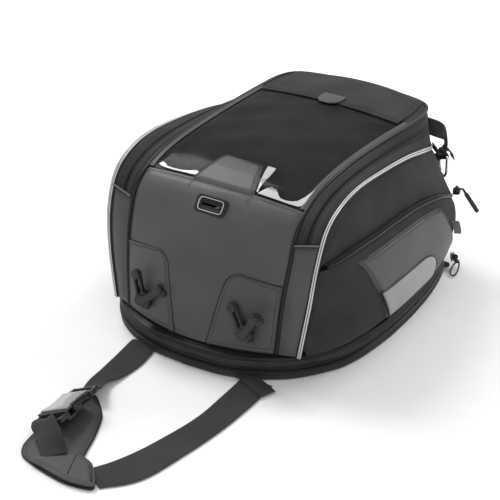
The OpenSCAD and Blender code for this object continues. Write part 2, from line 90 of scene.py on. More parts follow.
FLAP_START, FLAP_END = 7.7, 9.5
ZIP_SHARE = 0.455
MIRROR = np.array([-1.0, 1.0, 1.0])
UP = np.array([0.0, 0.0, 1.0])
SIDES = (("right", 1), ("left", -1))


# ---- Shape functions; each takes numbers or arrays of them ----

def unit(v):
    return v / np.maximum(np.linalg.norm(v, axis=-1, keepdims=True), 1e-12)


def mixed(a, b, s):
    s = np.asarray(s, float)[..., None]
    return a * (1 - s) + b * s


def eased(s):
    c = np.clip(s, 0, 1)
    return c * c * (3 - 2 * c)


def along(points, t):
    """Smooth curve through rows of points; it crosses the middle plane square at the last row."""
    last = len(points) - 1
    t = np.clip(np.asarray(t, float), 0, last)
    after = 2 * points[last] - points[last - 1]
    if abs(points[last][0]) < 1e-6:
        after = points[last - 1] * MIRROR[: points.shape[1]]
    padded = np.vstack([2 * points[0] - points[1], points, after])
    i = np.minimum(t.astype(int), last - 1)
    u = (t - i)[..., None]
    a, b, c, d = (padded[i + k] for k in range(4))
    return (2 * b + (c - a) * u + (2 * a - 5 * b + 4 * c - d) * u ** 2
            + (3 * b - a - 3 * c + d) * u ** 3) / 2


def top_point(t, v):
    t, v = np.broadcast_arrays(np.asarray(t, float), np.asarray(v, float))
    p = along(LID_EDGE, t)
    d = along(LID_EDGE, t + 0.05) - along(LID_EDGE, t - 0.05)
    n = unit(np.stack([0 * t, -d[..., 2], d[..., 1]], -1))
    bow = eased((t - 7.5) / 2.5) * 12 * MM * (1 - np.abs(v) ** 2.2)
    crown = np.interp(t, range(11), CROWN) * (1 - v * v)
    return np.stack([v * p[..., 0], p[..., 1] + bow, p[..., 2]], -1) + n * crown[..., None]


def gusset_point(t, u):
    return mixed(along(LID_EDGE, t), along(WALL_TOP, t), u)


def outward(t):
    t = np.asarray(t, float)
    d = along(WALL_FOOT, t + 0.1) - along(WALL_FOOT, t - 0.1)
    return unit(np.stack([d[..., 1], -d[..., 0], 0 * t], -1))


def wall_point(t, w):
    bulge = (16 * MM * w * (1 - w))[..., None]
    return mixed(along(WALL_TOP, t), along(WALL_FOOT, t), w) + outward(t) * bulge


def pocket_top(t):
    t = np.asarray(t, float)
    rear = along(POCKET_TOP, (t - POCKET_START) / (POCKET_END - POCKET_START) * 8)
    return np.where((t <= POCKET_START)[..., None], along(WALL_TOP, t), rear)


def swell(t):
    return (eased((t - 0.6) / 3) * (1 - eased((t - 8.7) / 0.9)))[..., None]


def pocket_lip(t):
    return pocket_top(t) + (outward(t) * 7 * MM - UP * 3 * MM) * swell(t)


def pocket_point(t, w):
    t, w = np.broadcast_arrays(np.asarray(t, float), np.asarray(w, float))
    bulge = (32 * MM * w * (1 - w))[..., None]
    return mixed(pocket_lip(t), along(WALL_FOOT, t), w) + outward(t) * bulge * swell(t)


def packed(a, b, n, k=0.55):
    """n values from a to b, closer together at both ends."""
    s = np.linspace(0, 1, n)
    return a + (b - a) * (s - k * np.sin(2 * np.pi * s) / (2 * np.pi))


def grid_of(function, ts, us):
    return function(*np.meshgrid(ts, us, indexing="ij"))


def loop_grid(start, count, us):
    """Right half from start to the middle of the rear, then the same half mirrored back."""
    half = grid_of(gusset_point, np.linspace(start, LAST, count), us)
    return np.concatenate([half, (half * MIRROR)[-2::-1]])


def flipped(grid):
    return (grid * MIRROR)[::-1]


def handed(grid, side):
    return grid if side > 0 else flipped(grid)


def normals(grid):
    return unit(np.cross(np.gradient(grid, axis=1), np.gradient(grid, axis=0)))


def run(points, axis=0):
    """Distance along the grid lines of one axis."""
    steps = np.linalg.norm(np.diff(points, axis=axis), axis=-1)
    start = np.zeros_like(np.take(steps, [0], axis))
    return np.concatenate([start, np.cumsum(steps, axis)], axis)


def border(grid, open_front=False):
    """Distance of each grid point from the nearest edge of the panel."""
    a, b = run(grid, 0), run(grid, 1)
    ends = [a[-1:] - a, b, b[:, -1:] - b]
    return np.minimum.reduce(ends if open_front else ends + [a])


def creases(points, size, seed):
    """Soft random waves of about that size, between -1 and 1."""
    dice = np.random.RandomState(seed)
    total = 0
    for k in range(7):
        wave = unit(dice.normal(size=3)) * 2 * np.pi / (size * dice.uniform(0.7, 1.6))
        total = total + np.sin(points @ wave + dice.uniform(0, 6.3))
    return total / 4


# ---- Mesh helpers ----

def finish_piece(obj, material, body, smooth=40, replaces=()):
    obj.data.materials.append(material)
    obj.data.shade_smooth()
    obj.data.set_sharp_from_angle(angle=math.radians(smooth))
    if isinstance(body, str):
        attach(obj, body)
    else:
        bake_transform(obj)
    if replaces:
        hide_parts(*replaces)
    return obj


def mesh_object(name, verts, faces, uvs=None):
    mesh = bpy.data.meshes.new(name)
    mesh.from_pydata([tuple(v) for v in verts], [], [tuple(int(i) for i in f) for f in faces])
    if uvs is not None:
        layer = mesh.uv_layers.new(name="UVMap")
        index = np.zeros(len(mesh.loops), int)
        mesh.loops.foreach_get("vertex_index", index)
        layer.data.foreach_set("uv", np.asarray(uvs, float)[index].ravel())
    mesh.update()
    obj = bpy.data.objects.new(name, mesh)
    bpy.context.collection.objects.link(obj)
    return obj


def turn_outwards(obj):
    """Point every face of a closed mesh outwards."""
    box = bmesh.new()
    box.from_mesh(obj.data)
    bmesh.ops.recalc_face_normals(box, faces=box.faces)
    box.to_mesh(obj.data)
    box.free()


def apply_modifiers(obj):
    depsgraph = bpy.context.evaluated_depsgraph_get()
    mesh = bpy.data.meshes.new_from_object(obj.evaluated_get(depsgraph))
    obj.modifiers.clear()
    obj.data = mesh


def grid_faces(m, n):
    i, j = np.meshgrid(np.arange(m - 1), np.arange(n - 1), indexing="ij")
    a, b = i * n + j, (i + 1) * n + j
    return np.stack([a, a + 1, b + 1, b], -1).reshape(-1, 4)


def wrapped_faces(m, n, closed):
    """Faces of m rings of n points; closed joins the last ring to the first."""
    i, j = np.meshgrid(np.arange(m if closed else m - 1), np.arange(n), indexing="ij")
    after, beside = (i + 1) % m * n, (j + 1) % n
    return np.stack([i * n + j, i * n + beside, after + beside, after + j], -1).reshape(-1, 4)


def panel(name, grid, thick, material, body, lift=0.0, puff=0.0, edge=9 * MM, wrinkle=0.0,
          size=60 * MM, seed=1, groove=None, depth=0.7 * MM, hole=None, open_front=False,
          replaces=()):
    """A sewn panel: the grid is its seam surface, and it swells by puff between its edges."""
    m, n = grid.shape[:2]
    far = border(grid, open_front)
    height = lift + puff * eased(far / edge)
    height = height + wrinkle * creases(grid, size, seed) * eased(far / (1.5 * edge))
    if groove:
        height = height - depth * np.exp(-((far - groove) / (0.9 * MM)) ** 2)
    skin = grid + normals(grid) * height[..., None]
    faces = grid_faces(m, n)
    if hole:
        middles = skin.reshape(-1, 3)[faces].mean(1)
        faces = faces[~hole(middles)]
    uvs = np.stack([run(grid, 0), run(grid, 1)], -1).reshape(-1, 2)
    obj = mesh_object(name, skin.reshape(-1, 3), faces, uvs)
    solid = obj.modifiers.new("solid", "SOLIDIFY")
    solid.thickness = thick
    solid.offset = -1
    apply_modifiers(obj)
    return finish_piece(obj, material, body, 50, replaces)


def frames(path, hint, closed=False):
    """Tangent, sideways and upward directions along a path, sideways as near to hint as can be."""
    if closed:
        d = unit(np.roll(path, -1, 0) - np.roll(path, 1, 0))
    else:
        d = unit(np.gradient(path, axis=0))
    hint = np.broadcast_to(np.asarray(hint, float), path.shape)
    a = unit(hint - d * (hint * d).sum(-1, keepdims=True))
    return d, a, np.cross(d, a)


def sweep(name, path, hint, section, material, body, closed=False, smooth=40, replaces=(),
          cap=0.0):
    """A section, one or one per ring, carried along a path; cap rounds its two ends."""
    path = np.asarray(path, float)
    section = np.asarray(section, float)
    if section.ndim == 2:
        section = np.repeat(section[None], len(path), 0)
    if cap and not closed:
        angles = np.radians([90, 60, 30])
        first, last = unit(path[0] - path[1]), unit(path[-1] - path[-2])
        head = [path[0] + first * cap * math.sin(a) for a in angles]
        tail = [path[-1] + last * cap * math.sin(a) for a in angles[::-1]]
        shrink = np.array([0.12, 0.5, 0.866])
        head_section = [section[0] * s for s in shrink]
        tail_section = [section[-1] * s for s in shrink[::-1]]
        hint = np.broadcast_to(np.asarray(hint, float), path.shape)
        hint = np.vstack([[hint[0]] * 3, hint, [hint[-1]] * 3])
        path = np.vstack([head, path, tail])
        section = np.concatenate([head_section, section, tail_section])
    _, a, b = frames(path, hint, closed)
    points = path[:, None] + a[:, None] * section[..., :1] + b[:, None] * section[..., 1:]
    m, n = points.shape[:2]
    faces = list(wrapped_faces(m, n, closed))
    if not closed:
        faces += [range(n), [(m - 1) * n + k for k in range(n)][::-1]]
    length = np.concatenate([[0], np.cumsum(np.linalg.norm(np.diff(path, axis=0), axis=1))])
    girth = np.concatenate([[0], np.cumsum(np.linalg.norm(np.diff(section[0], axis=0), axis=1))])
    uvs = np.stack(np.meshgrid(length, girth, indexing="ij"), -1).reshape(-1, 2)
    obj = mesh_object(name, points.reshape(-1, 3), faces, uvs)
    turn_outwards(obj)
    return finish_piece(obj, material, body, smooth, replaces)


def circle(radius, sides=12, flat=1.0):
    a = np.arange(sides) * 2 * np.pi / sides
    return np.stack([np.cos(a) * radius, np.sin(a) * radius * flat], -1)


def tube(name, path, radius, material, body, hint=(0.13, 0.21, 1), sides=12, **more):
    radius = np.broadcast_to(np.asarray(radius, float), len(path))
    section = circle(1.0, sides)[None] * radius[:, None, None]
    return sweep(name, path, hint, section, material, body, cap=float(radius[0]), **more)


def chain(name, path, side, material, body, radius=0.9 * MM, pitch=1.6 * MM, closed=False,
          replaces=()):
    """The coil of a zip: a cord pinched between its teeth."""
    path = evenly(path, pitch / 4, closed)
    beat = np.tile([0.62, 1.0, 1.12, 1.0], len(path) // 4 + 1)[: len(path)]
    section = circle(1.0, 6, 0.8)[None] * (radius * beat)[:, None, None]
    section = section * np.array([1.7, 1.0])
    side = np.asarray(side, float)
    return sweep(name, path, side, section, material, body, closed=closed, replaces=replaces)


def evenly(path, step, closed=False):
    path = np.asarray(path, float)
    if closed:
        path = np.vstack([path, path[:1]])
    s = run(path)
    count = max(int(round(s[-1] / step / 4)) * 4, 8)
    at = np.linspace(0, s[-1], count + 1)
    even = np.stack([np.interp(at, s, path[:, k]) for k in range(3)], -1)
    return even[:-1] if closed else even


def webbing_section(width, thick, ribs):
    """Cross-section of webbing: lengthwise ribs on both faces and rounded edges."""
    count = ribs * 6 + 1
    x = np.linspace(-0.5, 0.5, count)
    edge = np.sqrt(np.clip(1 - (np.abs(x) * 2) ** 10, 0.04, 1))
    half = (thick / 2) * edge * (0.66 + 0.34 * np.abs(np.cos(np.pi * x * ribs)))
    top = np.stack([x * width, half], -1)
    return np.vstack([top, (top * np.array([1, -1]))[::-1]])


def webbing(name, path, across, width, thick, material, body, ribs=9, step=3 * MM, replaces=()):
    path = np.asarray(path, float)
    across = np.broadcast_to(np.asarray(across, float), path.shape)
    s = run(path)
    count = max(int(s[-1] / step), 6)
    at = np.linspace(0, s[-1], count)
    even = np.stack([np.interp(at, s, path[:, k]) for k in range(3)], -1)
    turn = np.stack([np.interp(at, s, across[:, k]) for k in range(3)], -1)
    wide = np.interp(at, s, np.broadcast_to(np.asarray(width, float), len(path)))
    base = webbing_section(1.0, thick, ribs)
    section = np.stack([wide[:, None] * base[:, 0], np.broadcast_to(base[:, 1], (count, len(base)))], -1)
    return sweep(name, even, turn, section, material, body, smooth=60, replaces=replaces)


def stitches(name, path, up, body, pitch=3.3 * MM, length=2.3 * MM, radius=0.36 * MM, proud=0.1 * MM):
    """A row of small stitches along a seam."""
    path = evenly(path, pitch)
    up = np.asarray(up, float)
    if up.ndim > 1:
        up = up[np.linspace(0, len(up) - 1, len(path)).astype(int)]
    d, side, _ = frames(path, np.cross(unit(np.gradient(path, axis=0)), up))
    n = unit(np.cross(side, d))
    n = n * np.sign((n * up).sum(-1, keepdims=True))
    stations = np.array([(-0.5, 0.25), (-0.36, 0.85), (0, 1.1), (0.36, 0.85), (0.5, 0.25)])
    ring = circle(1.0, 6)
    verts = []
    for x, r in stations:
        for a, b in ring:
            verts.append(path + d * x * length + side * a * r * radius + n * (b * r * radius + proud))
    verts = np.stack(verts, 1).reshape(-1, 3)
    block = len(stations) * len(ring)
    faces = []
    for i in range(len(stations) - 1):
        for k in range(6):
            a, b = i * 6 + k, i * 6 + (k + 1) % 6
            faces.append((a, b, b + 6, a + 6))
    caps = [tuple(range(6))[::-1], tuple(block - 6 + k for k in range(6))]
    every = []
    for s in range(len(path)):
        every += [[s * block + k for k in f] for f in faces + caps]
    obj = mesh_object(name, verts, every)
    return finish_piece(obj, THREAD_WITH_PAINTED_SHEEN, body, 80)


def grid_line(grid, lift, inset, end):
    """A line on a panel, inset from one of its four edges, with its normals."""
    n = normals(grid)
    along_rows = end in ("left", "right")
    a = run(grid, 1 if along_rows else 0)
    total = a[:, -1] if along_rows else a[-1]
    where = inset if end in ("left", "front") else total - inset
    lines, ups = [], []
    for k in range(grid.shape[0] if along_rows else grid.shape[1]):
        line = grid[k] if along_rows else grid[:, k]
        up = n[k] if along_rows else n[:, k]
        s = a[k] if along_rows else a[:, k]
        at = where if np.ndim(where) == 0 else where[k]
        lines.append([np.interp(at, s, line[:, c]) for c in range(3)])
        ups.append([np.interp(at, s, up[:, c]) for c in range(3)])
    lines, ups = np.array(lines), unit(np.array(ups))
    return lines + ups * lift, ups


def border_line(name, grid, ends, lift, body, flip=1, radius=0.6 * MM):
    """Thin dark tube along chosen edges of a panel: painted shade in the gap along the reinforcement patches'
    edges, and a dark line along the window tab's edges.
    """
    for end in ends:
        line, _ = grid_line(grid, lift, 0.2 * MM, end)
        tube(f"{name}_{end}", line * flip, radius, PIPING, body, sides=8)


def bevelled(name, parts, place, material, body, radius=0.8 * MM, segments=3, replaces=(),
             shape=None):
    """Solids made of outlines: each part is (outline in mm, low, high) in the place's own axes."""
    box = bmesh.new()
    for outline, low, high in parts:
        ring = [box.verts.new((x * MM, y * MM, low * MM)) for x, y in outline]
        face = box.faces.new(ring)
        made = bmesh.ops.extrude_face_region(box, geom=[face])["geom"]
        tops = [v for v in made if isinstance(v, bmesh.types.BMVert)]
        bmesh.ops.translate(box, verts=tops, vec=(0, 0, (high - low) * MM))
    bmesh.ops.recalc_face_normals(box, faces=box.faces)
    if radius:
        edges = [e for e in box.edges if len(e.link_faces) == 2
                 and e.calc_face_angle() > math.radians(28)]
        bmesh.ops.bevel(box, geom=edges, offset=radius, segments=segments, profile=0.5,
                        affect="EDGES", clamp_overlap=True)
    if shape:
        for v in box.verts:
            v.co = shape(v.co)
    origin, axes = place
    for v in box.verts:
        v.co = Vector(origin) + Vector(axes[0]) * v.co.x + Vector(axes[1]) * v.co.y \
            + Vector(axes[2]) * v.co.z
    bmesh.ops.recalc_face_normals(box, faces=box.faces)
    mesh = bpy.data.meshes.new(name)
    box.to_mesh(mesh)
    box.free()
    obj = bpy.data.objects.new(name, mesh)
    bpy.context.collection.objects.link(obj)
    return finish_piece(obj, material, body, 35, replaces)


def rounded(w, h, r, centre=(0, 0), arc=6):
    """Outline of a rounded rectangle, in mm."""
    points = []
    for k, (sx, sy) in enumerate(((1, 1), (-1, 1), (-1, -1), (1, -1))):
        for a in np.linspace(k * 90, k * 90 + 90, arc):
            x = sx * (w / 2 - r) + r * math.cos(math.radians(a)) + centre[0]
            y = sy * (h / 2 - r) + r * math.sin(math.radians(a)) + centre[1]
            points.append((x, y))
    return points


def axes_of(turn_z=0.0, tilt_x=0.0):
    """Axes of a place turned about Z and then tilted about its own X, in degrees."""
    z, x = math.radians(turn_z), math.radians(tilt_x)
    right = np.array([math.cos(z), math.sin(z), 0])
    ahead = np.array([-math.sin(z), math.cos(z), 0])
    return right, ahead * math.cos(x) + UP * math.sin(x), UP * math.cos(x) - ahead * math.sin(x)


def leaning(axes, roll):
    """The same axes with their right side raised."""
    right, ahead, up = axes
    c, s = math.cos(math.radians(roll)), math.sin(math.radians(roll))
    return right * c + up * s, ahead, up * c - right * s


def placed(origin, axes, points):
    return origin + points[..., :1] * axes[0] + points[..., 1:2] * axes[1] + points[..., 2:] * axes[2]


def disc(centre, r, sides=18):
    """Outline of a round disc, in mm."""
    return [(centre[0] + r * math.cos(a), centre[1] + r * math.sin(a))
            for a in np.linspace(0, 2 * np.pi, sides, endpoint=False)]


# ---- Materials ----

def grey(value, tint=0.0):
    return (value, value * (1 - tint * 0.3), value * (1 + tint), 1)


def new_material(name, colour, roughness, vary=0.25, vary_size=25.0, **settings):
    """A material whose colour varies softly over the surface; returns it with its node tools."""
    material = bpy.data.materials.new(name)
    material.use_nodes = True
    nodes, links = material.node_tree.nodes, material.node_tree.links
    shader = nodes["Principled BSDF"]
    shader.inputs["Roughness"].default_value = roughness
    shader.inputs["Specular IOR Level"].default_value = 0.25
    for key, value in settings.items():
        shader.inputs[key.replace("_", " ")].default_value = value
    where = nodes.new("ShaderNodeTexCoord")
    noise = nodes.new("ShaderNodeTexNoise")
    noise.inputs["Scale"].default_value = vary_size
    noise.inputs["Detail"].default_value = 4
    links.new(where.outputs["Object"], noise.inputs["Vector"])
    ramp = nodes.new("ShaderNodeValToRGB")
    low, high = 1 - vary, 1 + vary
    ramp.color_ramp.elements[0].position = 0.3
    ramp.color_ramp.elements[1].position = 0.7
    ramp.color_ramp.elements[0].color = (*(c * low for c in colour[:3]), 1)
    ramp.color_ramp.elements[1].color = (*(c * high for c in colour[:3]), 1)
    links.new(noise.outputs["Fac"], ramp.inputs["Fac"])
    links.new(ramp.outputs["Color"], shader.inputs["Base Color"])
    return material, nodes, links, shader, where


def add_bump(nodes, links, shader, height, strength, distance):
    bump = nodes.new("ShaderNodeBump")
    bump.inputs["Strength"].default_value = strength
    bump.inputs["Distance"].default_value = distance
    links.new(height, bump.inputs["Height"])
    old = shader.inputs["Normal"].links
    if old:
        links.new(old[0].from_socket, bump.inputs["Normal"])
    links.new(bump.outputs["Normal"], shader.inputs["Normal"])


def textured_bump(tools, kind, scale, output, strength, distance, detail=2):
    _, nodes, links, shader, where = tools
    texture = nodes.new(kind)
    texture.inputs["Scale"].default_value = scale
    texture.inputs["Detail"].default_value = detail
    links.new(where.outputs["Object"], texture.inputs["Vector"])
    add_bump(nodes, links, shader, texture.outputs[output], strength, distance)


def weave(name, colour, roughness=0.85, threads=900.0, strength=0.5, coords="UV", **more):
    """Woven cloth: two crossing rows of threads."""
    material, nodes, links, shader, where = new_material(name, colour, roughness, **more)
    waves = []
    for direction in ("X", "Y"):
        wave = nodes.new("ShaderNodeTexWave")
        wave.bands_direction = direction
        wave.inputs["Scale"].default_value = threads / 20
        wave.inputs["Distortion"].default_value = 0.6
        wave.inputs["Detail"].default_value = 1
        scale = nodes.new("ShaderNodeVectorMath")
        scale.operation = "SCALE"
        scale.inputs["Scale"].default_value = 6.0
        links.new(where.outputs[coords], scale.inputs[0])
        links.new(scale.outputs[0], wave.inputs["Vector"])
        waves.append(wave)
    join = nodes.new("ShaderNodeMath")
    join.operation = "MULTIPLY"
    links.new(waves[0].outputs["Fac"], join.inputs[0])
    links.new(waves[1].outputs["Fac"], join.inputs[1])
    add_bump(nodes, links, shader, join.outputs[0], strength, 0.25 * MM)
    return material


def grained(name, colour, roughness, grain=1400.0, strength=0.25, depth=0.12 * MM, **more):
    """Leather-like or moulded surface: fine rounded grain and soft unevenness."""
    tools = new_material(name, colour, roughness, **more)
    textured_bump(tools, "ShaderNodeTexVoronoi", grain, "Distance", strength, depth, 0)
    textured_bump(tools, "ShaderNodeTexNoise", 90, "Fac", 0.25, 0.6 * MM, 3)
    return tools[0]


def clear_film():
    """Clear flexible film, faintly milky, with soft dents that catch the light."""
    tools = new_material("clear_film", grey(0.03), 0.16, vary=0.3, Alpha=0.3, IOR=1.32)
    textured_bump(tools, "ShaderNodeTexNoise", 22, "Fac", 0.3, 2 * MM)
    return tools[0]


def reflective(name, colour, metallic):
    """Retro-reflective tape: a fine field of bright beads."""
    tools = new_material(name, colour, 0.42, vary=0.12, Metallic=metallic, Sheen_Weight=0.3)
    textured_bump(tools, "ShaderNodeTexVoronoi", 2400, "Distance", 0.35, 0.1 * MM, 0)
    return tools[0]


FABRIC = weave("side_fabric", grey(0.027, 0.03), 0.9, Sheen_Weight=0.04)
BAND = weave("band_fabric", grey(0.032, 0.03), 0.9, strength=0.7, Sheen_Weight=0.04)
TAPE = weave("zip_tape", grey(0.024), 0.85, threads=1400)
LINING = grained("lining", grey(0.013), 0.9, strength=0.05)
WEB = weave("webbing", grey(0.036), 0.8, threads=1500, strength=0.8, vary=0.15, Sheen_Weight=0.05)
SOFT = grained("soft_panel", grey(0.076, 0.02), 0.5, vary=0.08, Coat_Weight=0.05)
FACE = grained("pocket_face", grey(0.085, 0.01), 0.5, vary=0.08, Coat_Weight=0.05)
PADDING = grained("harness_padding", grey(0.066), 0.6, vary=0.08)
PIPING = grained("piping", grey(0.012), 0.4, vary=0.1)
SILVER = reflective("reflective", grey(0.56), 0.15)
PATCH = reflective("badge", grey(0.27), 0.1)
# Dark thread lightened to mid grey: the lightening is a painted highlight standing in for light caught on the
# stitch edges.
THREAD_WITH_PAINTED_SHEEN = weave("thread", grey(0.085), 0.7, threads=3000, coords="Object")
PLASTIC = grained("black_plastic", grey(0.024), 0.36, grain=2200, strength=0.15, Coat_Weight=0.15)
COIL = grained("zip_coil", grey(0.014), 0.35, grain=3000, strength=0.1)
SLIDER = grained("zip_metal", grey(0.03), 0.3, strength=0.1, Metallic=0.6)
RUBBER = grained("pull_rubber", grey(0.035), 0.6)
PORT_RUBBER = grained("port_rubber", grey(0.02), 0.5)
PORT_LINE = grained("port_line", grey(0.55), 0.5, vary=0.05)
STEEL = grained("ring_metal", grey(0.62), 0.25, grain=800, strength=0.05, Metallic=1.0, vary=0.1)
# The light grey is a painted highlight for the shine on the buckle's top face; its coat and low roughness are
# real gloss.
BUCKLE_PAINTED_HIGHLIGHT = grained("buckle_grey", grey(0.27), 0.22, strength=0.05, vary=0.05, Coat_Weight=0.5)
LABEL = weave("label", grey(0.16), 0.8, threads=1800)
FILM = clear_film()
# Pale grey of the film_glint pieces: painted highlights that stand in for reflections on the clear film.
PAINTED_FILM_GLINT = grained("painted_film_glint", grey(0.5), 0.35, strength=0.1, vary=0.1, Coat_Weight=0.4)
LINING_OBJECT = weave("lining_flat", grey(0.026), 0.9, threads=1200, coords="Object")
BOARD = grained("board", grey(0.05), 0.6)

# ---- Camera, light and floor ----

TARGET = Vector((-15.9, -50.7, 65.5)) * MM
AZIMUTH, ELEVATION, DISTANCE = math.radians(33), math.radians(28.6), 2.0


def add_camera():
    back = Vector((math.sin(AZIMUTH) * math.cos(ELEVATION), -math.cos(AZIMUTH) * math.cos(ELEVATION),
                   math.sin(ELEVATION)))
    data = bpy.data.cameras.new("camera")
    data.lens = 129.2
    data.sensor_width = 36
    data.clip_start = 0.05
    camera = bpy.data.objects.new("camera", data)
    bpy.context.collection.objects.link(camera)
    camera.location = TARGET + back * DISTANCE
    camera.rotation_euler = (-back).to_track_quat("-Z", "Y").to_euler()
    bpy.context.scene.camera = camera


def add_light(name, place, power, size):
    data = bpy.data.lights.new(name, "AREA")
    data.energy = power
    data.size = size
    light = bpy.data.objects.new(name, data)
    bpy.context.collection.objects.link(light)
    light.location = place
    light.rotation_euler = (TARGET - Vector(place)).to_track_quat("-Z", "Y").to_euler()


def add_studio():
    world = bpy.data.worlds.new("studio")
    world.use_nodes = True
    world.node_tree.nodes["Background"].inputs["Color"].default_value = (1, 1, 1, 1)
    world.node_tree.nodes["Background"].inputs["Strength"].default_value = 0.55
    bpy.context.scene.world = world
    bpy.context.scene.view_settings.view_transform = "Standard"
    add_light("key", (-1.5, 0.4, 2.1), 42, 1.1)
    add_light("rim", (0.6, 1.8, 1.6), 24, 1.2)
    add_light("fill", (1.2, -1.6, 1.3), 9, 1.4)
    size = 6.0
    floor = mesh_object("floor", [(-size, -size, 0), (size, -size, 0), (size, size, 0), (-size, size, 0)],
                        [(0, 1, 2, 3)])
    floor.location.z = CAD_BOX[0][2] - 0.0002
    floor.data.materials.append(grained("floor", grey(0.93), 0.8, strength=0.0, vary=0.01))


# ---- Front panel and lid top ----

FOLD = ("bag", "lid", (0, -0.161, 0.138), (0, -0.150, 0.163))
PORT = top_point(3.02, 0)
PORT_AXES = axes_of(0, 53)
PORT_W, PORT_H, SLOT_W, SLOT_H = 38, 20, 24, 10


def in_port(points):
    flat = points - PORT
    x, y = flat @ PORT_AXES[0], flat @ PORT_AXES[1]
    return (np.abs(x) < (SLOT_W / 2 + 4) * MM) & (np.abs(y) < (SLOT_H / 2 + 3) * MM)


def front_panel():
    grid = grid_of(top_point, packed(0, WINDOW_START - 0.03, 110, 0.3), packed(-0.975, 0.975, 84, 0.5))
    panel("front_panel", grid, 2.4 * MM, SOFT, FOLD, lift=-0.4 * MM, puff=1.2 * MM,
          wrinkle=0.5 * MM, size=80 * MM, seed=3, hole=in_port,
          replaces=("front_panel_lower", "lid_front_panel"))
    for inset in (3, 5.5):
        line, up = grid_line(grid, 0.2 * MM, inset * MM, "rear")
        stitches(f"front_panel_hem_{inset}".replace(".", "_"), line, up, "lid")


def tab_edge(t):
    """Half-width of the tab, as a share of the lid's half-width."""
    s = 0.385 - 0.11 * np.clip((t - WINDOW_START) / 0.9, 0, 1)
    end = np.clip((t - TAB_END + 0.2) / 0.2, 0, 1)
    return s - 0.07 * (1 - np.sqrt(1 - end ** 2))


def window_tab():
    def place(t, k):
        return top_point(t, k * tab_edge(t))
    grid = grid_of(place, packed(WINDOW_START - 0.35, TAB_END, 60, 0.5), packed(-1, 1, 56, 0.8))
    rise = -2.6 * MM + 3.4 * MM * eased((run(grid, 0) - 4 * MM) / (12 * MM))
    panel("window_tab_visual", grid, 1.2 * MM, SOFT, "lid", lift=rise, puff=1.1 * MM,
          edge=2.2 * MM, groove=3.4 * MM, open_front=True, replaces=("window_tab",))
    border_line("tab_border", grid[22:], ("left", "right", "rear"), 0.9 * MM, "lid")
    for end in ("left", "right", "rear"):
        line, up = grid_line(grid, 1.5 * MM, 2.6 * MM, end)
        stitches(f"tab_stitches_{end}", line, up, "lid", pitch=2.6 * MM, length=1.8 * MM)


def reinforcement_patch(name, side):
    """Its inner upper corner is rounded, and its upper edge slopes down outwards."""
    flip = MIRROR if side < 0 else 1

    def place(t, s):
        inner = 0.23 + 0.115 * t - (0.045 if side < 0 else 0)
        curl = np.clip((t - 1.27) / 0.3, 0, 1)
        inner = inner + 0.13 * (1 - np.sqrt(1 - 0.97 * curl ** 2))
        v = inner + (0.965 - inner) * s
        slope = 0.10 * (s - 0.3) * eased(t / 1.57)
        return top_point(t - slope, v)
    grid = grid_of(place, packed(0.02, 1.57, 60, 0.8), packed(0, 1, 60, 0.8))
    # Dark tubes along two of the patch's edges: painted shade in the gap at its edge.
    border_line(f"patch_border_{name}", grid, ("left", "rear"), 1.0 * MM, "bag", flip)
    panel(f"reinforcement_patch_{name}", handed(grid, side), 1.2 * MM, SOFT, "bag", lift=0.9 * MM,
          puff=1.5 * MM, edge=2.2 * MM, groove=3.8 * MM, depth=1.0 * MM,
          replaces=("reinforcement_patches",))
    for row, inset in (("seam", 2.2), ("seam_inner", 5.2)):
        for part, end, kept in (("side", "left", slice(-4)), ("top", "rear", slice(4, None))):
            line, up = grid_line(grid, 2.0 * MM, inset * MM, end)
            if row == "seam_inner":
                line = line[kept]
            stitches(f"patch_{part}_{row}_{name}", line * flip, up * flip, "bag")


# Painted highlights on the film: pale strips laid along the front hem where the film shows reflections. Ends
# as shares of the half-width, then marks along each strip with its near and far edges in stations behind the
# hem.
GLINTS = (
    ("left", -0.345, -0.87, (0, 0.05, 0.12, 0.25, 0.4, 0.6, 0.78, 0.87, 0.95, 1),
     (0.10, 0.05, 0.03, 0.03, 0.03, 0.03, 0.04, 0.06, 0.09, 0.13),
     (0.12, 0.20, 0.20, 0.13, 0.09, 0.08, 0.11, 0.20, 0.24, 0.15)),
    ("right", 0.42, 0.955, (0, 0.1, 0.18, 0.22, 0.3, 0.4, 0.48, 0.6, 0.72, 0.82, 0.9, 0.96, 1),
     (0.03, 0.03, 0.03, 0.03, 0.03, 0.03, 0.03, 0.03, 0.03, 0.04, 0.05, 0.14, 0.86),
     (0.05, 0.30, 0.40, 0.36, 0.36, 0.20, 0.11, 0.10, 0.14, 0.22, 0.42, 0.70, 0.95)),
)


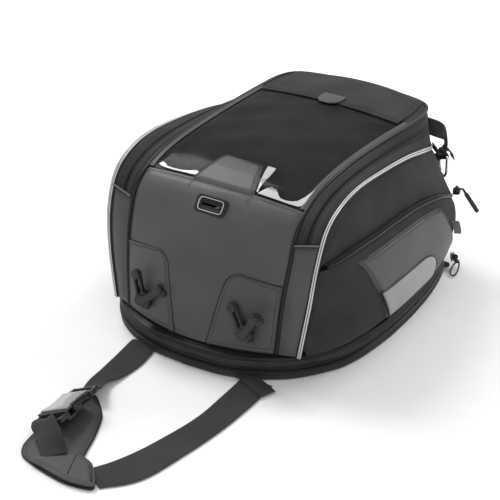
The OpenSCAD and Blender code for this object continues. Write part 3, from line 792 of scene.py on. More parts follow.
def window():
    grid = grid_of(top_point, packed(WINDOW_START, WINDOW_END, 70, 0.3), packed(-0.965, 0.965, 70, 0.4))
    film = panel("map_window_film", grid, 0.5 * MM, FILM, "lid", lift=-0.2 * MM,
                 puff=1.4 * MM, edge=14 * MM, wrinkle=0.9 * MM, size=55 * MM, seed=8,
                 replaces=("map_window",))
    spread = run(grid, 0)[-1].mean(), run(grid, 1)[:, -1].mean()
    floor = grid_of(top_point, packed(WINDOW_START - 0.12, WINDOW_END + 0.4, 50),
                    packed(-0.985, 0.985, 50))
    drop = -1.6 * MM - 8.4 * MM * eased(border(floor) / (16 * MM))
    panel("map_pocket_lining", floor, 1.2 * MM, LINING, "lid", lift=drop,
          wrinkle=1.0 * MM, size=50 * MM, seed=5, replaces=("map_pocket_floor",))
    s = np.linspace(0, 1, 60)
    # Each film_glint piece is a pale strip laid just above the film: a painted highlight where the film shows
    # reflections.
    for name, inner, outer, marks, low, high in GLINTS:
        near, far = np.interp(s, marks, low), np.interp(s, marks, high)
        shine = np.array([top_point(WINDOW_START + near + (far - near) * k, inner + (outer - inner) * s)
                          for k in np.linspace(0, 1, 8)]).transpose(1, 0, 2)
        panel(f"film_glint_{name}", shine if outer < inner else shine[::-1], 0.3 * MM, PAINTED_FILM_GLINT,
              "lid", lift=1.6 * MM)
    # A narrow pale strip beside the tab's right edge: another painted highlight on the film.
    strip = grid_of(lambda a, k: top_point(3.82 + 0.98 * a, tab_edge(3.82 + 0.8 * a) + 0.02
                                           + k * (0.015 + 0.085 * eased(a))),
                    np.linspace(0, 1, 30), np.linspace(0, 1, 6))
    panel("film_glint_tab", strip, 0.3 * MM, PAINTED_FILM_GLINT, "lid", lift=1.7 * MM)


def lid_rear():
    grid = grid_of(top_point, packed(WINDOW_END + 0.1, 10, 50), packed(-0.975, 0.975, 80, 0.4))
    panel("lid_rear_panel_visual", grid, 2.2 * MM, FABRIC, "lid", puff=1.0 * MM,
          wrinkle=0.5 * MM, seed=11, replaces=("lid_rear_panel",))
    for name, side in SIDES[::-1]:
        strip = grid_of(top_point, np.linspace(WINDOW_START + 0.02, WINDOW_END + 0.05, 70),
                        np.linspace(0.925, 0.985, 7))
        strip = handed(strip, side)
        panel(f"window_binding_{name}", strip, 1.0 * MM, SOFT, "lid", lift=1.1 * MM,
              puff=0.5 * MM, edge=2 * MM)
        line, up = grid_line(strip, 1.6 * MM, 3.2 * MM, "left")
        stitches(f"window_seam_{name}", line, up, "lid")
    flap = grid_of(top_point, packed(FLAP_START, FLAP_END, 44), packed(-0.9, 0.9, 70, 0.4))
    cloth = panel("rear_flap", flap, 1.3 * MM, FABRIC, "flap", lift=2.6 * MM,
                  puff=1.2 * MM, wrinkle=1.1 * MM, size=45 * MM, seed=21, groove=5 * MM,
                  replaces=("map_flap",))
    size = float(run(flap, 1)[:, -1].mean()), float(run(flap, 0)[-1].mean())
    for end in ("front", "left", "right"):
        line, up = grid_line(flap, 3.4 * MM, 4 * MM, end)
        stitches(f"flap_stitches_{end}", line, up, "flap")

    def pull(t, k):
        end = np.clip((FLAP_START + 0.1 - t) / 0.28, 0, 1)
        return top_point(t, k * 0.14 * np.sqrt(1 - 0.9 * end ** 2))
    tab = grid_of(pull, packed(FLAP_START - 0.18, FLAP_START + 0.36, 22), packed(-1, 1, 22))
    panel("flap_pull_tab", tab, 1.2 * MM, SOFT, "flap", lift=4.6 * MM, puff=1 * MM,
          edge=3 * MM, groove=3 * MM, replaces=("flap_pull",))


def cable_port():
    place = (PORT, PORT_AXES)

    def ring(outer, inner, low, high):
        """Outer wall, rounded top and inner wall of a ring, as one closed loft."""
        r = 0.26 * outer[1]
        loops = []
        spans = [(outer, low, 0), (outer, high - 0.8, 0), (outer, high - 0.2, 0.3), (outer, high, 0.9),
                 (inner, high, -0.6), (inner, high - 0.5, 0), (inner, low, 0)]
        for (w, h), z, inset in spans:
            rr = min(r, h * 0.45)
            outline = rounded(w - 2 * inset, h - 2 * inset, max(rr - inset, 0.5), arc=8)
            loops.append([(x, y, z) for x, y in outline])
        points = np.array(loops) * MM
        points = placed(PORT, PORT_AXES, points)
        m, n = points.shape[:2]
        return points.reshape(-1, 3), wrapped_faces(m, n, True)

    def add(name, material, *args, replaces=()):
        verts, faces = ring(*args)
        obj = mesh_object(name, verts, faces)
        turn_outwards(obj)
        finish_piece(obj, material, "lid", 50, replaces)

    add("port_collar", PORT_RUBBER, (PORT_W, PORT_H), (SLOT_W + 6, SLOT_H + 4), -2.6, 2.4,
        replaces=("cable_port_rim",))
    add("port_outline", PORT_LINE, (SLOT_W + 6.8, SLOT_H + 4.8),
        (SLOT_W + 5.2, SLOT_H + 3.2), 0.4, 2.8)
    add("port_throat", PORT_RUBBER, (SLOT_W + 5, SLOT_H + 3), (SLOT_W, SLOT_H - 2),
        -3.6, 1.6)
    add("port_backing", PORT_RUBBER, (PORT_W - 2, PORT_H - 2), (SLOT_W, SLOT_H), -4.2,
        -2.8, replaces=("cable_port_backing",))
    lips = [(rounded(SLOT_W, 3.4, 1.4, (0, s * 2.9)), -1.4, 0.8) for s in (-1, 1)]
    bevelled("port_lips", lips, place, PORT_RUBBER, "lid", 0.5 * MM)


# ---- Gussets, zip and piping ----

def gussets():
    lid = loop_grid(HINGE - 0.03, 120, packed(0.05, 0.33, 12))
    panel("lid_gusset_visual", lid, 2.0 * MM, FABRIC, "lid", lift=0.3 * MM,
          puff=0.9 * MM, edge=2.4 * MM, wrinkle=0.3 * MM, seed=31, groove=2.2 * MM, replaces=("lid_gusset",))
    bag = loop_grid(HINGE - 0.03, 120, packed(0.58, 0.97, 16))
    panel("zip_gusset_visual", bag, 2.0 * MM, FABRIC, "bag", lift=0.3 * MM,
          puff=0.9 * MM, edge=2.4 * MM, wrinkle=0.3 * MM, seed=32, groove=2.2 * MM, replaces=("zip_gusset",))
    for name, body, low, high in (("lid", "lid", 0.30, 0.445), ("bag", "bag", 0.475, 0.62)):
        tape = loop_grid(HINGE - 0.02, 110, np.linspace(low, high, 5))
        panel(f"{name}_zip_tape", tape, 0.8 * MM, TAPE, body, lift=0.5 * MM)
    for name, body, share in (("lid", "lid", ZIP_SHARE - 0.02), ("bag", "bag", ZIP_SHARE + 0.02)):
        line = loop_grid(HINGE + 0.06, 160, np.array([share, share + 0.02]))
        chain(f"main_zip_coil_{name}", line[:, 0], (0.1, 0.1, -1), COIL, body,
              replaces=("main_zip",) if body == "bag" else ())
    for name, body, grid in (("lid", "lid", lid), ("bag", "bag", bag)):
        for end in ("left", "right"):
            line, up = grid_line(grid, 0.3 * MM, 2 * MM, end)
            if (name, end) in (("lid", "right"), ("bag", "left")):
                stitches(f"{name}_gusset_seam", line, up, body)


def pipings():
    for name, side in SIDES:
        line = gusset_point(np.linspace(0, HINGE - 0.02, 40), np.zeros(40)) * (MIRROR if side < 0 else 1)
        tube(f"front_piping_{name}", line, 2.3 * MM, PIPING, "bag",
             replaces=("front_piping",))
    loop = loop_grid(HINGE + 0.02, 160, np.array([0.0, 0.1]))[:, 0]
    tube("lid_piping_visual", loop, 2.3 * MM, PIPING, "lid", replaces=("lid_piping",))
    whole = loop_grid(0, 200, np.array([0.96, 1.0]))
    across = whole[:, 1] - whole[:, 0]
    path = whole[:, 1] + normals(np.stack([whole[:, 0], whole[:, 1]], 1))[:, 0] * 1.2 * MM
    for k, shift in enumerate((-1.1, 1.1)):
        line = path + unit(across) * shift * MM
        tube(f"reflective_bead_{k + 1}", line, 1.15 * MM, SILVER, "bag", sides=10,
             replaces=("reflective_piping",))
    sweep("reflective_flange", path - unit(across) * 0.2 * MM, across,
                  circle(1.0, 12) * np.array([3.4, 0.9]) * MM, PIPING, "bag")


def corners():
    for name, side in SIDES:
        grid = grid_of(gusset_point, packed(0, HINGE + 0.03, 60, 0.3), packed(0.07, 0.93, 18))
        grid = handed(grid, side)
        panel(f"front_corner_{name}", grid, 2.2 * MM, SOFT, "bag", puff=1.6 * MM,
              edge=9 * MM, wrinkle=0.3 * MM, seed=41, replaces=("front_corners",))
        line, up = grid_line(grid, 1.5 * MM, 0.2 * MM, "rear" if side > 0 else "front")
        sweep(f"front_corner_fold_{name}", line, up, circle(1.0, 12) *
              np.array([2.6, 1.2]) * MM, SOFT, "bag")
        line, up = grid_line(grid, 1.0 * MM, 4 * MM, "rear" if side > 0 else "front")
        stitches(f"front_corner_seam_{name}", line, up, "bag")


# ---- Walls and side pockets ----

def walls():
    for name, side in SIDES:

        def strip(t, s):
            return mixed(along(WALL_TOP, t), pocket_top(t), s)
        grid = grid_of(strip, np.linspace(POCKET_START + 0.1, REAR_CORNER + 0.1, 90), packed(0.01, 0.985, 24))
        grid = handed(grid, side)
        panel(f"side_wall_{name}", grid, 2.2 * MM, FABRIC, "bag", puff=2.5 * MM,
              edge=16 * MM, wrinkle=0.8 * MM, size=60 * MM, seed=51 + side,
              replaces=("side_walls",))
        def closing(k, s):
            upper = mixed(along(WALL_TOP, 9.5), pocket_top(9.5), np.clip(2 * s, 0, 1))
            lower = pocket_point(9.57, np.clip(2 * s - 1, 0, 1))
            start = np.where((s < 0.5)[..., None], upper, lower)
            return mixed(start, wall_point(9.75, s), k)
        grid = grid_of(closing, packed(-0.04, 1.1, 16), np.linspace(0.02, 1, 70))
        grid = handed(grid, side)
        panel(f"rear_corner_{name}", grid, 2.0 * MM, FABRIC, "bag", lift=-0.6 * MM,
              puff=2.0 * MM, edge=8 * MM, wrinkle=0.5 * MM, seed=58)
    half = grid_of(wall_point, np.linspace(REAR_CORNER - 0.05, LAST, 50), packed(0.01, 1, 40))
    grid = np.concatenate([half, (half * MIRROR)[-2::-1]])
    panel("rear_wall_visual", grid, 2.2 * MM, FABRIC, "bag", puff=1.2 * MM,
          edge=14 * MM, wrinkle=1.0 * MM, size=70 * MM, seed=61, replaces=("rear_wall",))


def face_front(w):
    return 3.6 + 0.62 * w


def face_rear(w):
    return 7.4 + 1.5 * w


def side_pocket(name, side):
    shell = grid_of(pocket_point, np.linspace(0.3, POCKET_END, 130), packed(0.015, 1, 46))
    panel(f"pocket_shell_visual_{name}", handed(shell, side), 1.8 * MM, FABRIC, "bag",
          puff=1.4 * MM, edge=12 * MM, wrinkle=1.0 * MM, size=55 * MM, seed=71 + side,
          replaces=(f"pocket_shell_{name}",))

    def lip(t, s):
        return mixed(pocket_top(t), pocket_lip(t), s)
    tape = grid_of(lip, np.linspace(POCKET_START + 0.4, POCKET_END - 0.1, 90), np.linspace(0.0, 1.0, 9))
    panel(f"pocket_zip_tape_{name}", handed(tape, side), 1.2 * MM, TAPE, "bag", lift=0.1 * MM,
          replaces=("pocket_zips",))
    line = handed(grid_of(lip, np.linspace(POCKET_START + 0.5, 9.35, 120), np.array([0.42, 0.55])), side)
    chain(f"pocket_zip_coil_{name}", line[:, 0] + UP * 0.8 * MM, (side, 0, 0), COIL, "bag")
    rim = grid_of(lip, np.linspace(POCKET_START + 0.4, POCKET_END - 0.3, 90), np.array([0.9, 1.0]))
    rim = handed(rim, side)
    tube(f"pocket_edge_piping_{name}", rim[:, -1] + UP * 0.6 * MM, 1.5 * MM, PIPING, "bag")

    def face(s, w):
        return pocket_point(face_front(w) * (1 - s) + face_rear(w) * s, w)
    grid = handed(grid_of(face, packed(0, 1, 100, 0.35), packed(0.1, 0.985, 54)), side)
    panel(f"pocket_face_visual_{name}", grid, 1.2 * MM, FACE, "bag", lift=1.6 * MM,
          puff=2.4 * MM, edge=9 * MM, groove=4.4 * MM, wrinkle=0.4 * MM, seed=81,
          replaces=("pocket_faces",))
    for end in ("front", "rear", "left"):
        for inset in (2.6, 6.0):
            line, up = grid_line(grid, 2.0 * MM + inset * 0.28 * MM, inset * MM, end)
            stitches(f"face_seam_{name}_{end}_{int(inset)}", line, up, "bag", pitch=3.0 * MM)

    def badge(s, w):
        start = face_front(0.56 + 0.38 * w) + 0.08
        end = 7.2 - 0.8 * (1 - np.sqrt(np.clip(1 - (1 - w) ** 2.2, 0, 1))) - 0.25 * w ** 3
        return pocket_point(start + (end - start) * s, 0.56 + 0.385 * w)
    patch = handed(grid_of(badge, packed(0, 1, 60), packed(0, 1, 26)), side)
    panel(f"reflective_patch_{name}", patch, 0.8 * MM, PATCH, "bag", lift=4.6 * MM,
          puff=0.7 * MM, edge=3 * MM, groove=1.8 * MM, replaces=("reflective_badges",))
    rim_path = np.concatenate([patch[:, 0], patch[-1], patch[::-1, -1], patch[::-1][-1:, ::-1][0]])
    out = np.concatenate([normals(patch)[:, 0], normals(patch)[-1], normals(patch)[::-1, -1],
                          normals(patch)[0, ::-1]])
    tube(f"reflective_patch_rim_{name}", (rim_path + out * 4.3 * MM)[::2], 0.9 * MM, PIPING, "bag", sides=8)


def side_label():
    """A folded cloth label that stands out of the seam behind the pocket face."""
    out = np.array([0.93, 0.37, 0])
    for k, gap in enumerate((-0.7, 0.7)):
        def cloth(w, d, gap=gap):
            bow = (gap * (1 - d ** 3) + 0.8 * np.sin(4 * w))[..., None] * np.array([-0.37, 0.93, 0])
            return pocket_point(face_rear(w) + 0.15, w) + (out * (2.6 + 8.4 * d[..., None]) + bow) * MM
        grid = grid_of(cloth, np.linspace(0.36, 0.64, 24), np.linspace(0, 1, 12))
        panel(f"side_label_ply_{k + 1}", grid, 0.5 * MM, LABEL, "bag",
              replaces=("side_label",) if k == 0 else ())


# ---- Base ----

def outline(inset, z, count=360):
    t = np.linspace(0, 11, count // 2 + 1)
    half = along(BASE, t)
    ring = np.vstack([half, (half * np.array([-1, 1]))[-2:0:-1]])
    d = np.roll(ring, -1, 0) - np.roll(ring, 1, 0)
    n = unit(np.stack([-d[:, 1], d[:, 0]], -1))
    flat = ring + n * inset
    return np.column_stack([flat, np.full(len(flat), z)]), np.column_stack([n, np.zeros(len(n))])


def band_ring(name, profile, material, replaces=(), wobble=0.0, seed=0):
    """A closed band round the base; its profile is (inset, height) pairs in mm, outside then inside."""
    loops = []
    for inset, z in profile:
        ring, n = outline(inset * MM, z * MM)
        loops.append(ring - n * (wobble * creases(ring, 60 * MM, seed))[:, None])
    points = np.stack(loops, 1)
    m, n = points.shape[:2]
    faces = wrapped_faces(m, n, True)[:, [0, 3, 2, 1]]
    length = run(points, 0)[:, :1] + 0 * points[..., 0]
    girth = np.broadcast_to(run(points, 1)[:1], (m, n))
    obj = mesh_object(name, points.reshape(-1, 3), faces, np.stack([length, girth], -1).reshape(-1, 2))
    turn_outwards(obj)
    return finish_piece(obj, material, "bag", 50, replaces)


def ring_stitches(name, inset, z):
    ring, n = outline(inset * MM, z * MM)
    stitches(name, np.vstack([ring, ring[:1]]), -np.vstack([n, n[:1]]), "bag")


def base_collar():
    band_ring("lower_band", [(3.2, 0.1), (1.9, 0.8), (1.4, 3), (1.5, 6), (2.2, 9.0), (3.6, 9.9),
                             (4.6, 9.8), (4.6, 0.1)], BAND, ("base_lower_band",),
              0.3 * MM, 91)
    band_ring("lower_flange", [(2.6, 7.2), (0.7, 7.4), (0.2, 8.2), (0.2, 9.2), (0.8, 10.0), (2.6, 10.2)],
              PIPING, ("base_lower_piping",))
    band_ring("zip_band", [(3.6, 9.8), (3.2, 11), (3.2, 15), (3.6, 16.2), (4.8, 16.2), (4.8, 9.8)],
              TAPE, ("base_zip_tape",))
    for k, z in enumerate((12.2, 13.8)):
        ring, n = outline(2.9 * MM, z * MM)
        chain(f"base_zip_coil_{k + 1}", ring, UP, COIL, "bag",
              radius=0.8 * MM, closed=True)
    band_ring("upper_band", [(3.0, 15.6), (1.6, 16.0), (0.9, 17.4), (0.8, 20), (1.3, 22.6), (2.4, 23.6),
                             (4.4, 23.8), (4.4, 15.6)], BAND, ("base_upper_band",),
              0.4 * MM, 92)
    band_ring("upper_ridge", [(4.6, 23.4), (1.6, 23.3), (0.9, 24.2), (1.0, 25.6), (2.2, 26.8),
                              (4.2, 27.2), (7.5, 28.2), (11, 29.6), (11, 26.5), (6, 24.5)], PIPING,
              ("base_upper_piping",))
    for k, (inset, z) in enumerate(((2.0, 10.4), (1.3, 15.7), (1.4, 23.5))):
        ring, _ = outline(inset * MM, z * MM)
        tube(f"collar_line_{k + 1}", ring, 0.6 * MM, PIPING, "bag", sides=8, closed=True)
    ring_stitches("upper_band_seam", 0.9, 21.9)
    ring_stitches("lower_band_seam", 1.45, 2.4)
    for node, material in (("base_panel", LINING), ("base_board", BOARD),
                           ("pocket_back_right", LINING_OBJECT), ("pocket_back_left", LINING_OBJECT)):
        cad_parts[node].data.materials.clear()
        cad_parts[node].data.materials.append(material)


# ---- Hooks ----

def hook(name, side):
    """A moulded fork: a slotted loop on one arm, a knobbed horn on the other, on a riveted foot."""
    axes = axes_of(side * -7, 90 - 8)
    origin = np.array([side * 66 + 3, -186.5, 53]) * MM
    if side < 0:
        a = math.radians(18)
        axes = (axes[0] * math.cos(a) - axes[1] * math.sin(a),
                axes[1] * math.cos(a) + axes[0] * math.sin(a), axes[2])
    place = (origin, axes)

    def arm(lean, reach, wide):
        a = math.radians(lean)
        along_arm, across = (math.sin(a), math.cos(a)), (math.cos(a), -math.sin(a))
        points = [(-2, -wide / 2), (reach * 0.5, -wide / 2 * 0.92), (reach, -wide / 2 * 1.05)]
        tip = [(reach + wide / 2 * 1.05 * math.sin(k), -wide / 2 * 1.05 * math.cos(k))
               for k in np.linspace(0.3, math.pi - 0.3, 7)]
        points += tip + [(reach, wide / 2 * 1.05), (reach * 0.5, wide / 2 * 0.92), (-2, wide / 2)]
        return [(u * along_arm[0] + w * across[0], u * along_arm[1] + w * across[1]) for u, w in points]

    def lean_out(co):
        co.z += 0.0035 * max(co.y / 0.034, 0) ** 2
        return co

    lean, reach, rail_gap = math.radians(30), 32, 6.6
    left = []
    for s in (-1, 1):
        shift = np.array([math.cos(lean), math.sin(lean)]) * s * rail_gap / 2
        bar = np.array(arm(-30, reach, 3.0)) + shift
        left.append(([tuple(p) for p in bar], 2.4, 8.6))
    tip = (-math.sin(lean) * reach, math.cos(lean) * reach)
    horn = (math.sin(lean) * reach * 0.93, math.cos(lean) * reach * 0.93)
    parts = [(rounded(23, 21, 3.5, (0, 3)), 0.2, 2.2), (rounded(19, 13, 5.5, (1, 1.5)), 2.0, 9.8),
             (disc((0, 6.5), 6.0), 2.0, 8.0), *left, (disc(tip, 5.4), 2.0, 10.5),
             (arm(32, reach * 0.85, 9.0), 2.2, 10.6), (disc(horn, 6.0), 2.0, 13.4),
             (rounded(12, 7.5, 3.2, (horn[0] + 4.0, horn[1] - 0.6)), 3.6, 12.4)]
    bevelled(f"lashing_hook_{name}", parts, place, PLASTIC, "bag", 1.1 * MM, 3,
             ("lashing_hooks",), lean_out)
    head = disc((0, 0), 3.2, 24)
    bevelled(f"hook_rivet_{name}", [(head, 9.2, 10.6)], place, SLIDER, "bag", 0.5 * MM, 2,
             ("hook_rivets",))


# ---- Zip sliders and pullers ----

def zip_slider(name, origin, axes, body):
    """Top plate, side rails and the arched bridge that holds the puller."""
    nose = [(-3.2, 6), (-4.5, 3), (-4.0, -4.5), (-3.0, -6), (3.0, -6), (4.0, -4.5), (4.5, 3), (3.2, 6)]
    parts = [(nose, 2.6, 4.0), (nose, 0.0, 1.0), (rounded(3, 11, 1.2), 0.6, 3.0)]
    bevelled(f"{name}_plates", parts, (origin, axes), SLIDER, body, 0.35 * MM, 2, (name,))
    s = np.linspace(0, np.pi, 17)
    arch = np.stack([0 * s, -np.cos(s) * 4.6, 3.6 + np.sin(s) * 4.2], -1) * MM
    path = placed(origin, axes, arch)
    section = circle(1.0, 10) * np.array([1.5, 0.7]) * MM
    sweep(f"{name}_bridge", path, axes[0], section, SLIDER, body, cap=0.5 * MM)


def rubber_puller(name, origin, axes, body, reach, wide, replaces):
    """A wire loop, a short tang and a long soft grip that thickens towards its end."""
    def at(x, y, z):
        return origin + (axes[0] * x + axes[1] * y + axes[2] * z) * MM
    loop = [at(x, y, 0) for x, y in ((-2, -9.5), (-3.2, -7), (-3.4, -2.5), (-2.6, -0.4), (0, 0.2),
                                     (2.6, -0.4), (3.4, -2.5), (3.2, -7), (2, -9.5))]
    tube(f"{name}_wire", evenly(loop, 0.8 * MM), 0.75 * MM, SLIDER, body, hint=axes[2],
         sides=8)
    s = np.linspace(0, 1, 40)
    path = np.array([at(0, -7.5 - (reach - 7.5 + wide * 0.3) * k, 0) for k in s])
    wide_at = wide / 2 * (0.62 + 0.38 * eased(s * 1.15))
    ribs = 1 + 0.06 * np.sin(s * 2 * np.pi * 7) * (s > 0.2) * (s < 0.8)
    section = circle(1.0, 20)[None] * np.stack([wide_at * ribs, 2.5 * ribs + 0 * s], -1)[:, None] * MM
    sweep(name + "_grip", path, axes[0], section, RUBBER, body, cap=1.6 * MM, replaces=replaces)


def zips():
    for name, side in SIDES:
        flip = MIRROR if side < 0 else 1
        spot = (gusset_point(11.8, ZIP_SHARE) + np.array([0, 3.4, 0]) * MM) * flip
        axes = (UP, np.array([-side, 0, 0.0]), np.array([0, 1.0, 0]))
        zip_slider(f"main_slider_{name}", spot, axes, f"main_slider_{name}")
        tilt = (UP, np.array([-side * math.cos(math.radians(4)), -0.07, 0]), np.array([0, 1.0, 0]))
        rubber_puller(f"main_puller_{name}", spot + np.array([0, 6, 0]) * MM, tilt,
                      f"main_puller_{name}", 30, 7, (f"main_puller_{name}",))
        place = pocket_top(9.4) + np.array([4.5, 5, 2]) * MM
        turn = math.radians(20)
        axes = (np.array([math.cos(turn), math.sin(turn), 0]) * flip,
                np.array([-math.sin(turn), math.cos(turn), 0]) * flip, UP)
        zip_slider(f"pocket_slider_{name}", place * flip, axes, f"pocket_slider_{name}")
        right, ahead, up = axes_of(120, 57)
        wire = (place + np.array([6.1, 3.5, 4.5]) * MM) * flip
        rubber_puller(f"pocket_puller_{name}", wire, (right * flip, ahead * flip, up * flip),
                      f"pocket_puller_{name}", 30, 8, (f"pocket_puller_{name}",))
        post = wire + np.array([[0], [3], [6]]) * axes_of(120, 0)[1] * flip * MM
        tube(f"pocket_slider_{name}_eye", post, 1.1 * MM, SLIDER, f"pocket_slider_{name}")


def base_zip():
    right, ahead, up = axes_of(37, 0)
    origin = np.array([137.6, 143.5, 13]) * MM
    zip_slider("base_slider", origin, (up, ahead, right), "base_slider")
    wire = origin + right * 6 * MM
    low = wire - UP * 6 * MM
    lug = [wire + (ahead * x + UP * z) * MM for x, z in ((-2.5, -6), (-3.2, -4), (-3, -1), (0, 0.4),
                                                         (3, -1), (3.2, -4), (2.5, -6))]
    tube("base_puller_wire", evenly(lug, 0.8 * MM), 0.75 * MM, SLIDER, "base_puller", sides=8)
    bevelled("base_puller_lug", [(rounded(7, 5, 1.5), -1.0, 1.0)], (low + right * 1.5 * MM,
             (ahead, right, UP)), RUBBER, "base_puller", 0.6 * MM, 2)
    a = math.radians(-12)
    run_out = np.array([-math.sin(a), -math.cos(a), -0.18])
    across = np.array([math.cos(a), math.sin(a), 0])
    start = low + right * 3 * MM
    loop = []
    for k in np.linspace(0, 1, 60, endpoint=False):
        angle = 2 * np.pi * k
        loop.append(start + run_out * (13.5 - 13.5 * math.cos(angle)) * MM
                    + across * 4.4 * math.sin(angle) * (1 - 0.25 * math.cos(angle)) * MM)
    sweep("base_puller_loop", np.array(loop), UP, circle(0.95 * MM, 8), RUBBER, "base_puller",
          closed=True, replaces=("base_puller",))
    half = [(6.5 * math.cos(b), 6.5 * math.sin(b)) for b in np.linspace(-np.pi / 2, np.pi / 2, 14)]
    tab = [(-9, -6.5), *half, (-9, 6.5)]
    bevelled("base_web_tab", [(tab, 0.0, 2.2)], (np.array([133, 136, 4]) * MM, (right, ahead, UP)), WEB,
             "bag", 0.7 * MM, 2)


# ---- Handle and rings ----

CORNER = np.array([107, 146, 136]) * MM
CORNER_TURN = 47
RING_OUT, RING_R = 12, 12
HANDLE = rows((115.2, 154.8, 141), (116, 156.8, 148), (109.5, 167, 154), (99, 179, 151.5),
              (80, 189, 148), (50, 195, 147.5), (0, 198, 148))


def handle():
    t = np.linspace(0, 6, 70)
    half = along(HANDLE, t)
    turn = mixed(np.array([-0.731, 0.682, 0]), np.array([0, -0.05, -1.0]), eased(t / 2))
    wide = 13 * MM + 8 * MM * eased((t - 1.2) / 2.5)
    path = np.vstack([half, (half * MIRROR)[-2::-1]])
    across = np.vstack([turn, (turn * MIRROR)[-2::-1]])
    webbing("carry_handle_webbing", path, across, np.concatenate([wide, wide[-2::-1]]), 2.2 * MM, WEB,
            "handle", 7, replaces=("carry_handle",))


def corner_ring(name, side):
    flip = MIRROR if side < 0 else 1
    right, ahead, up = (a * flip for a in axes_of(CORNER_TURN, 0))
    origin = CORNER * flip + right * RING_OUT * MM
    points = [(0, 0), (RING_R * 0.5, 0), (RING_R - 1.5, 0), (RING_R, -1.5), (RING_R, -8)]
    arc = [(RING_R * math.cos(a), -15 - RING_R * math.sin(a)) for a in np.linspace(0, np.pi, 22)]
    points += arc + [(-RING_R, -8), (-RING_R, -1.5), (-RING_R + 1.5, 0), (-RING_R * 0.5, 0)]
    path = np.array([origin + (ahead * x + UP * z) * MM for x, z in points])
    path = evenly(path, 1.2 * MM, closed=True)
    sweep(f"d_ring_wire_{name}", path, right, circle(1.75 * MM, 12), STEEL, f"d_ring_{name}",
          closed=True, replaces=(f"d_ring_{name}",))
    loop = [(0.5, -12), (1.0, -6), (3.0, -2.6), (8, -2.4), (12, -3.1), (14.8, -1.6), (15.2, 0.6),
            (14, 2.9), (11, 3.4), (8, 2.5), (3, 2.6), (1.0, 6), (0.5, 12)]
    spine = np.array([CORNER * flip + (right * x + UP * z) * MM for x, z in loop])
    webbing(f"ring_anchor_webbing_{name}", evenly(spine, 1.5 * MM), ahead, 17 * MM, 1.5 * MM, WEB,
            "bag", 6, step=1.5 * MM, replaces=("webbing_anchors",))
    tail = np.array([CORNER * flip + (right * x + ahead * y + UP * z) * MM
                     for x, y, z in ((8, 0, 5), (13, 0, 6.6), (18, 0, 5), (21.5, 0, 0), (23, 0, -6))])
    webbing(f"ring_anchor_tail_{name}", evenly(tail, 2 * MM), ahead, 13 * MM, 1.4 * MM, WEB, "bag", 5)


# ---- Harness ----

def strap(name, one, other, t, thick, body, ribs, replaces=()):
    """Webbing that fills the strip between two edge lines."""
    a, b = along(one, t), along(other, t)
    webbing(name, (a + b) / 2, b - a, np.linalg.norm(b - a, axis=1), thick, WEB, body, ribs,
            replaces=replaces)


ROOT = ("bag", "harness", (0, -0.200, 0), (0, -0.211, 0))
FRONT = ("harness", "buckle_male", (-0.06, -0.235, 0), (-0.045, -0.308, 0))


def straps():
    inner = rows((66, -190, 1.5), (68, -230, 1.5), (69, -275, 1.5), (60, -330, 1.5), (48, -376, 1.5),
                 (33, -408, 1.5))
    outer = rows((102, -190, 1.5), (103.5, -234, 1.5), (102, -285, 1.5), (97, -335, 1.5),
                 (84, -398, 1.5), (56, -433, 1.5))
    strap("right_strap", inner, outer, np.linspace(0, 5, 110), 2.2 * MM, ROOT, 11, ("harness_straps",))
    fold = np.array([(60, -186, 3.4), (84, -196, 4.2), (107, -206, 3.4)]) * MM
    webbing("right_strap_fold", fold, (0.38, 0.92, 0), 19 * MM, 1.8 * MM, WEB, ROOT, 9)
    one = rows((-77, -190, 1.5), (-71, -232, 2.0), (-66, -262, 4), (-61, -288, 7), (-50.5, -317, 10.3))
    other = rows((-44, -190, 1.5), (-38, -226, 1.6), (-39, -256, 2), (-41, -284, 8), (-27, -315, 21))
    strap("left_strap_root", one, other, np.linspace(0, 1.0, 31), 2.0 * MM, ROOT, 10)
    strap("left_strap", one, other, np.linspace(0.97, 4, 81), 2.0 * MM, FRONT, 10, ("buckle_male_web",))


PAD_EDGE = rows((-42, -305), (-14, -331), (2, -364), (16, -402), (32, -413), (54, -434), (26, -441),
                (-8, -436.5), (-36, -428), (-47.5, -412), (-54, -375), (-62.5, -335), (-60, -310))


def closed_curve(points, count):
    padded = np.vstack([points[-1:], points, points[:2]])
    t = np.linspace(0, len(points), count, endpoint=False)
    i = t.astype(int)
    u = (t - i)[:, None]
    a, b, c, d = (padded[i + k] for k in range(4))
    tension = 0.75
    return (2 * b + (c - a) * u * tension + (2 * tension * a + (tension - 6) * b
            - 2 * (tension - 3) * c - tension * d) * u ** 2
            + (-tension * a + (4 - tension) * b + (tension - 4) * c + tension * d) * u ** 3) / 2


def cushion(name, edge, low, high, rise, material, body, replaces=(), rings=16):
    """A flat-bottomed pad: its top swells from a thin sewn edge."""
    count = len(edge)
    middle = edge.mean(0)
    loops = []
    for k in range(rings):
        s = k / (rings - 1)
        inset = edge + (middle - edge) * s * 0.93
        reach = np.linalg.norm(inset - edge, axis=1)
        top = low + (high - low) * (0.42 + 0.58 * eased(reach / rise)) - 0.5 * MM * np.exp(
            -((reach - 4 * MM) / (1.0 * MM)) ** 2)
        top = top + 0.5 * MM * creases(np.column_stack([inset, 0 * top]), 45 * MM, 7) * eased(reach / rise)
        loops.append(np.column_stack([inset, top]))
    bottom = [np.column_stack([edge * (1 - s) + middle * s, np.full(count, low)]) for s in (0.0, 0.93)]
    points = np.stack([bottom[1], bottom[0]] + loops)
    m, n = points.shape[:2]
    faces = list(wrapped_faces(m, n, False))
    faces += [tuple(range(n))[::-1], tuple((m - 1) * n + j for j in range(n))]
    obj = mesh_object(name, points.reshape(-1, 3), faces, points.reshape(-1, 3)[:, :2])
    turn_outwards(obj)
    finish_piece(obj, material, body, 60, replaces)
    return obj


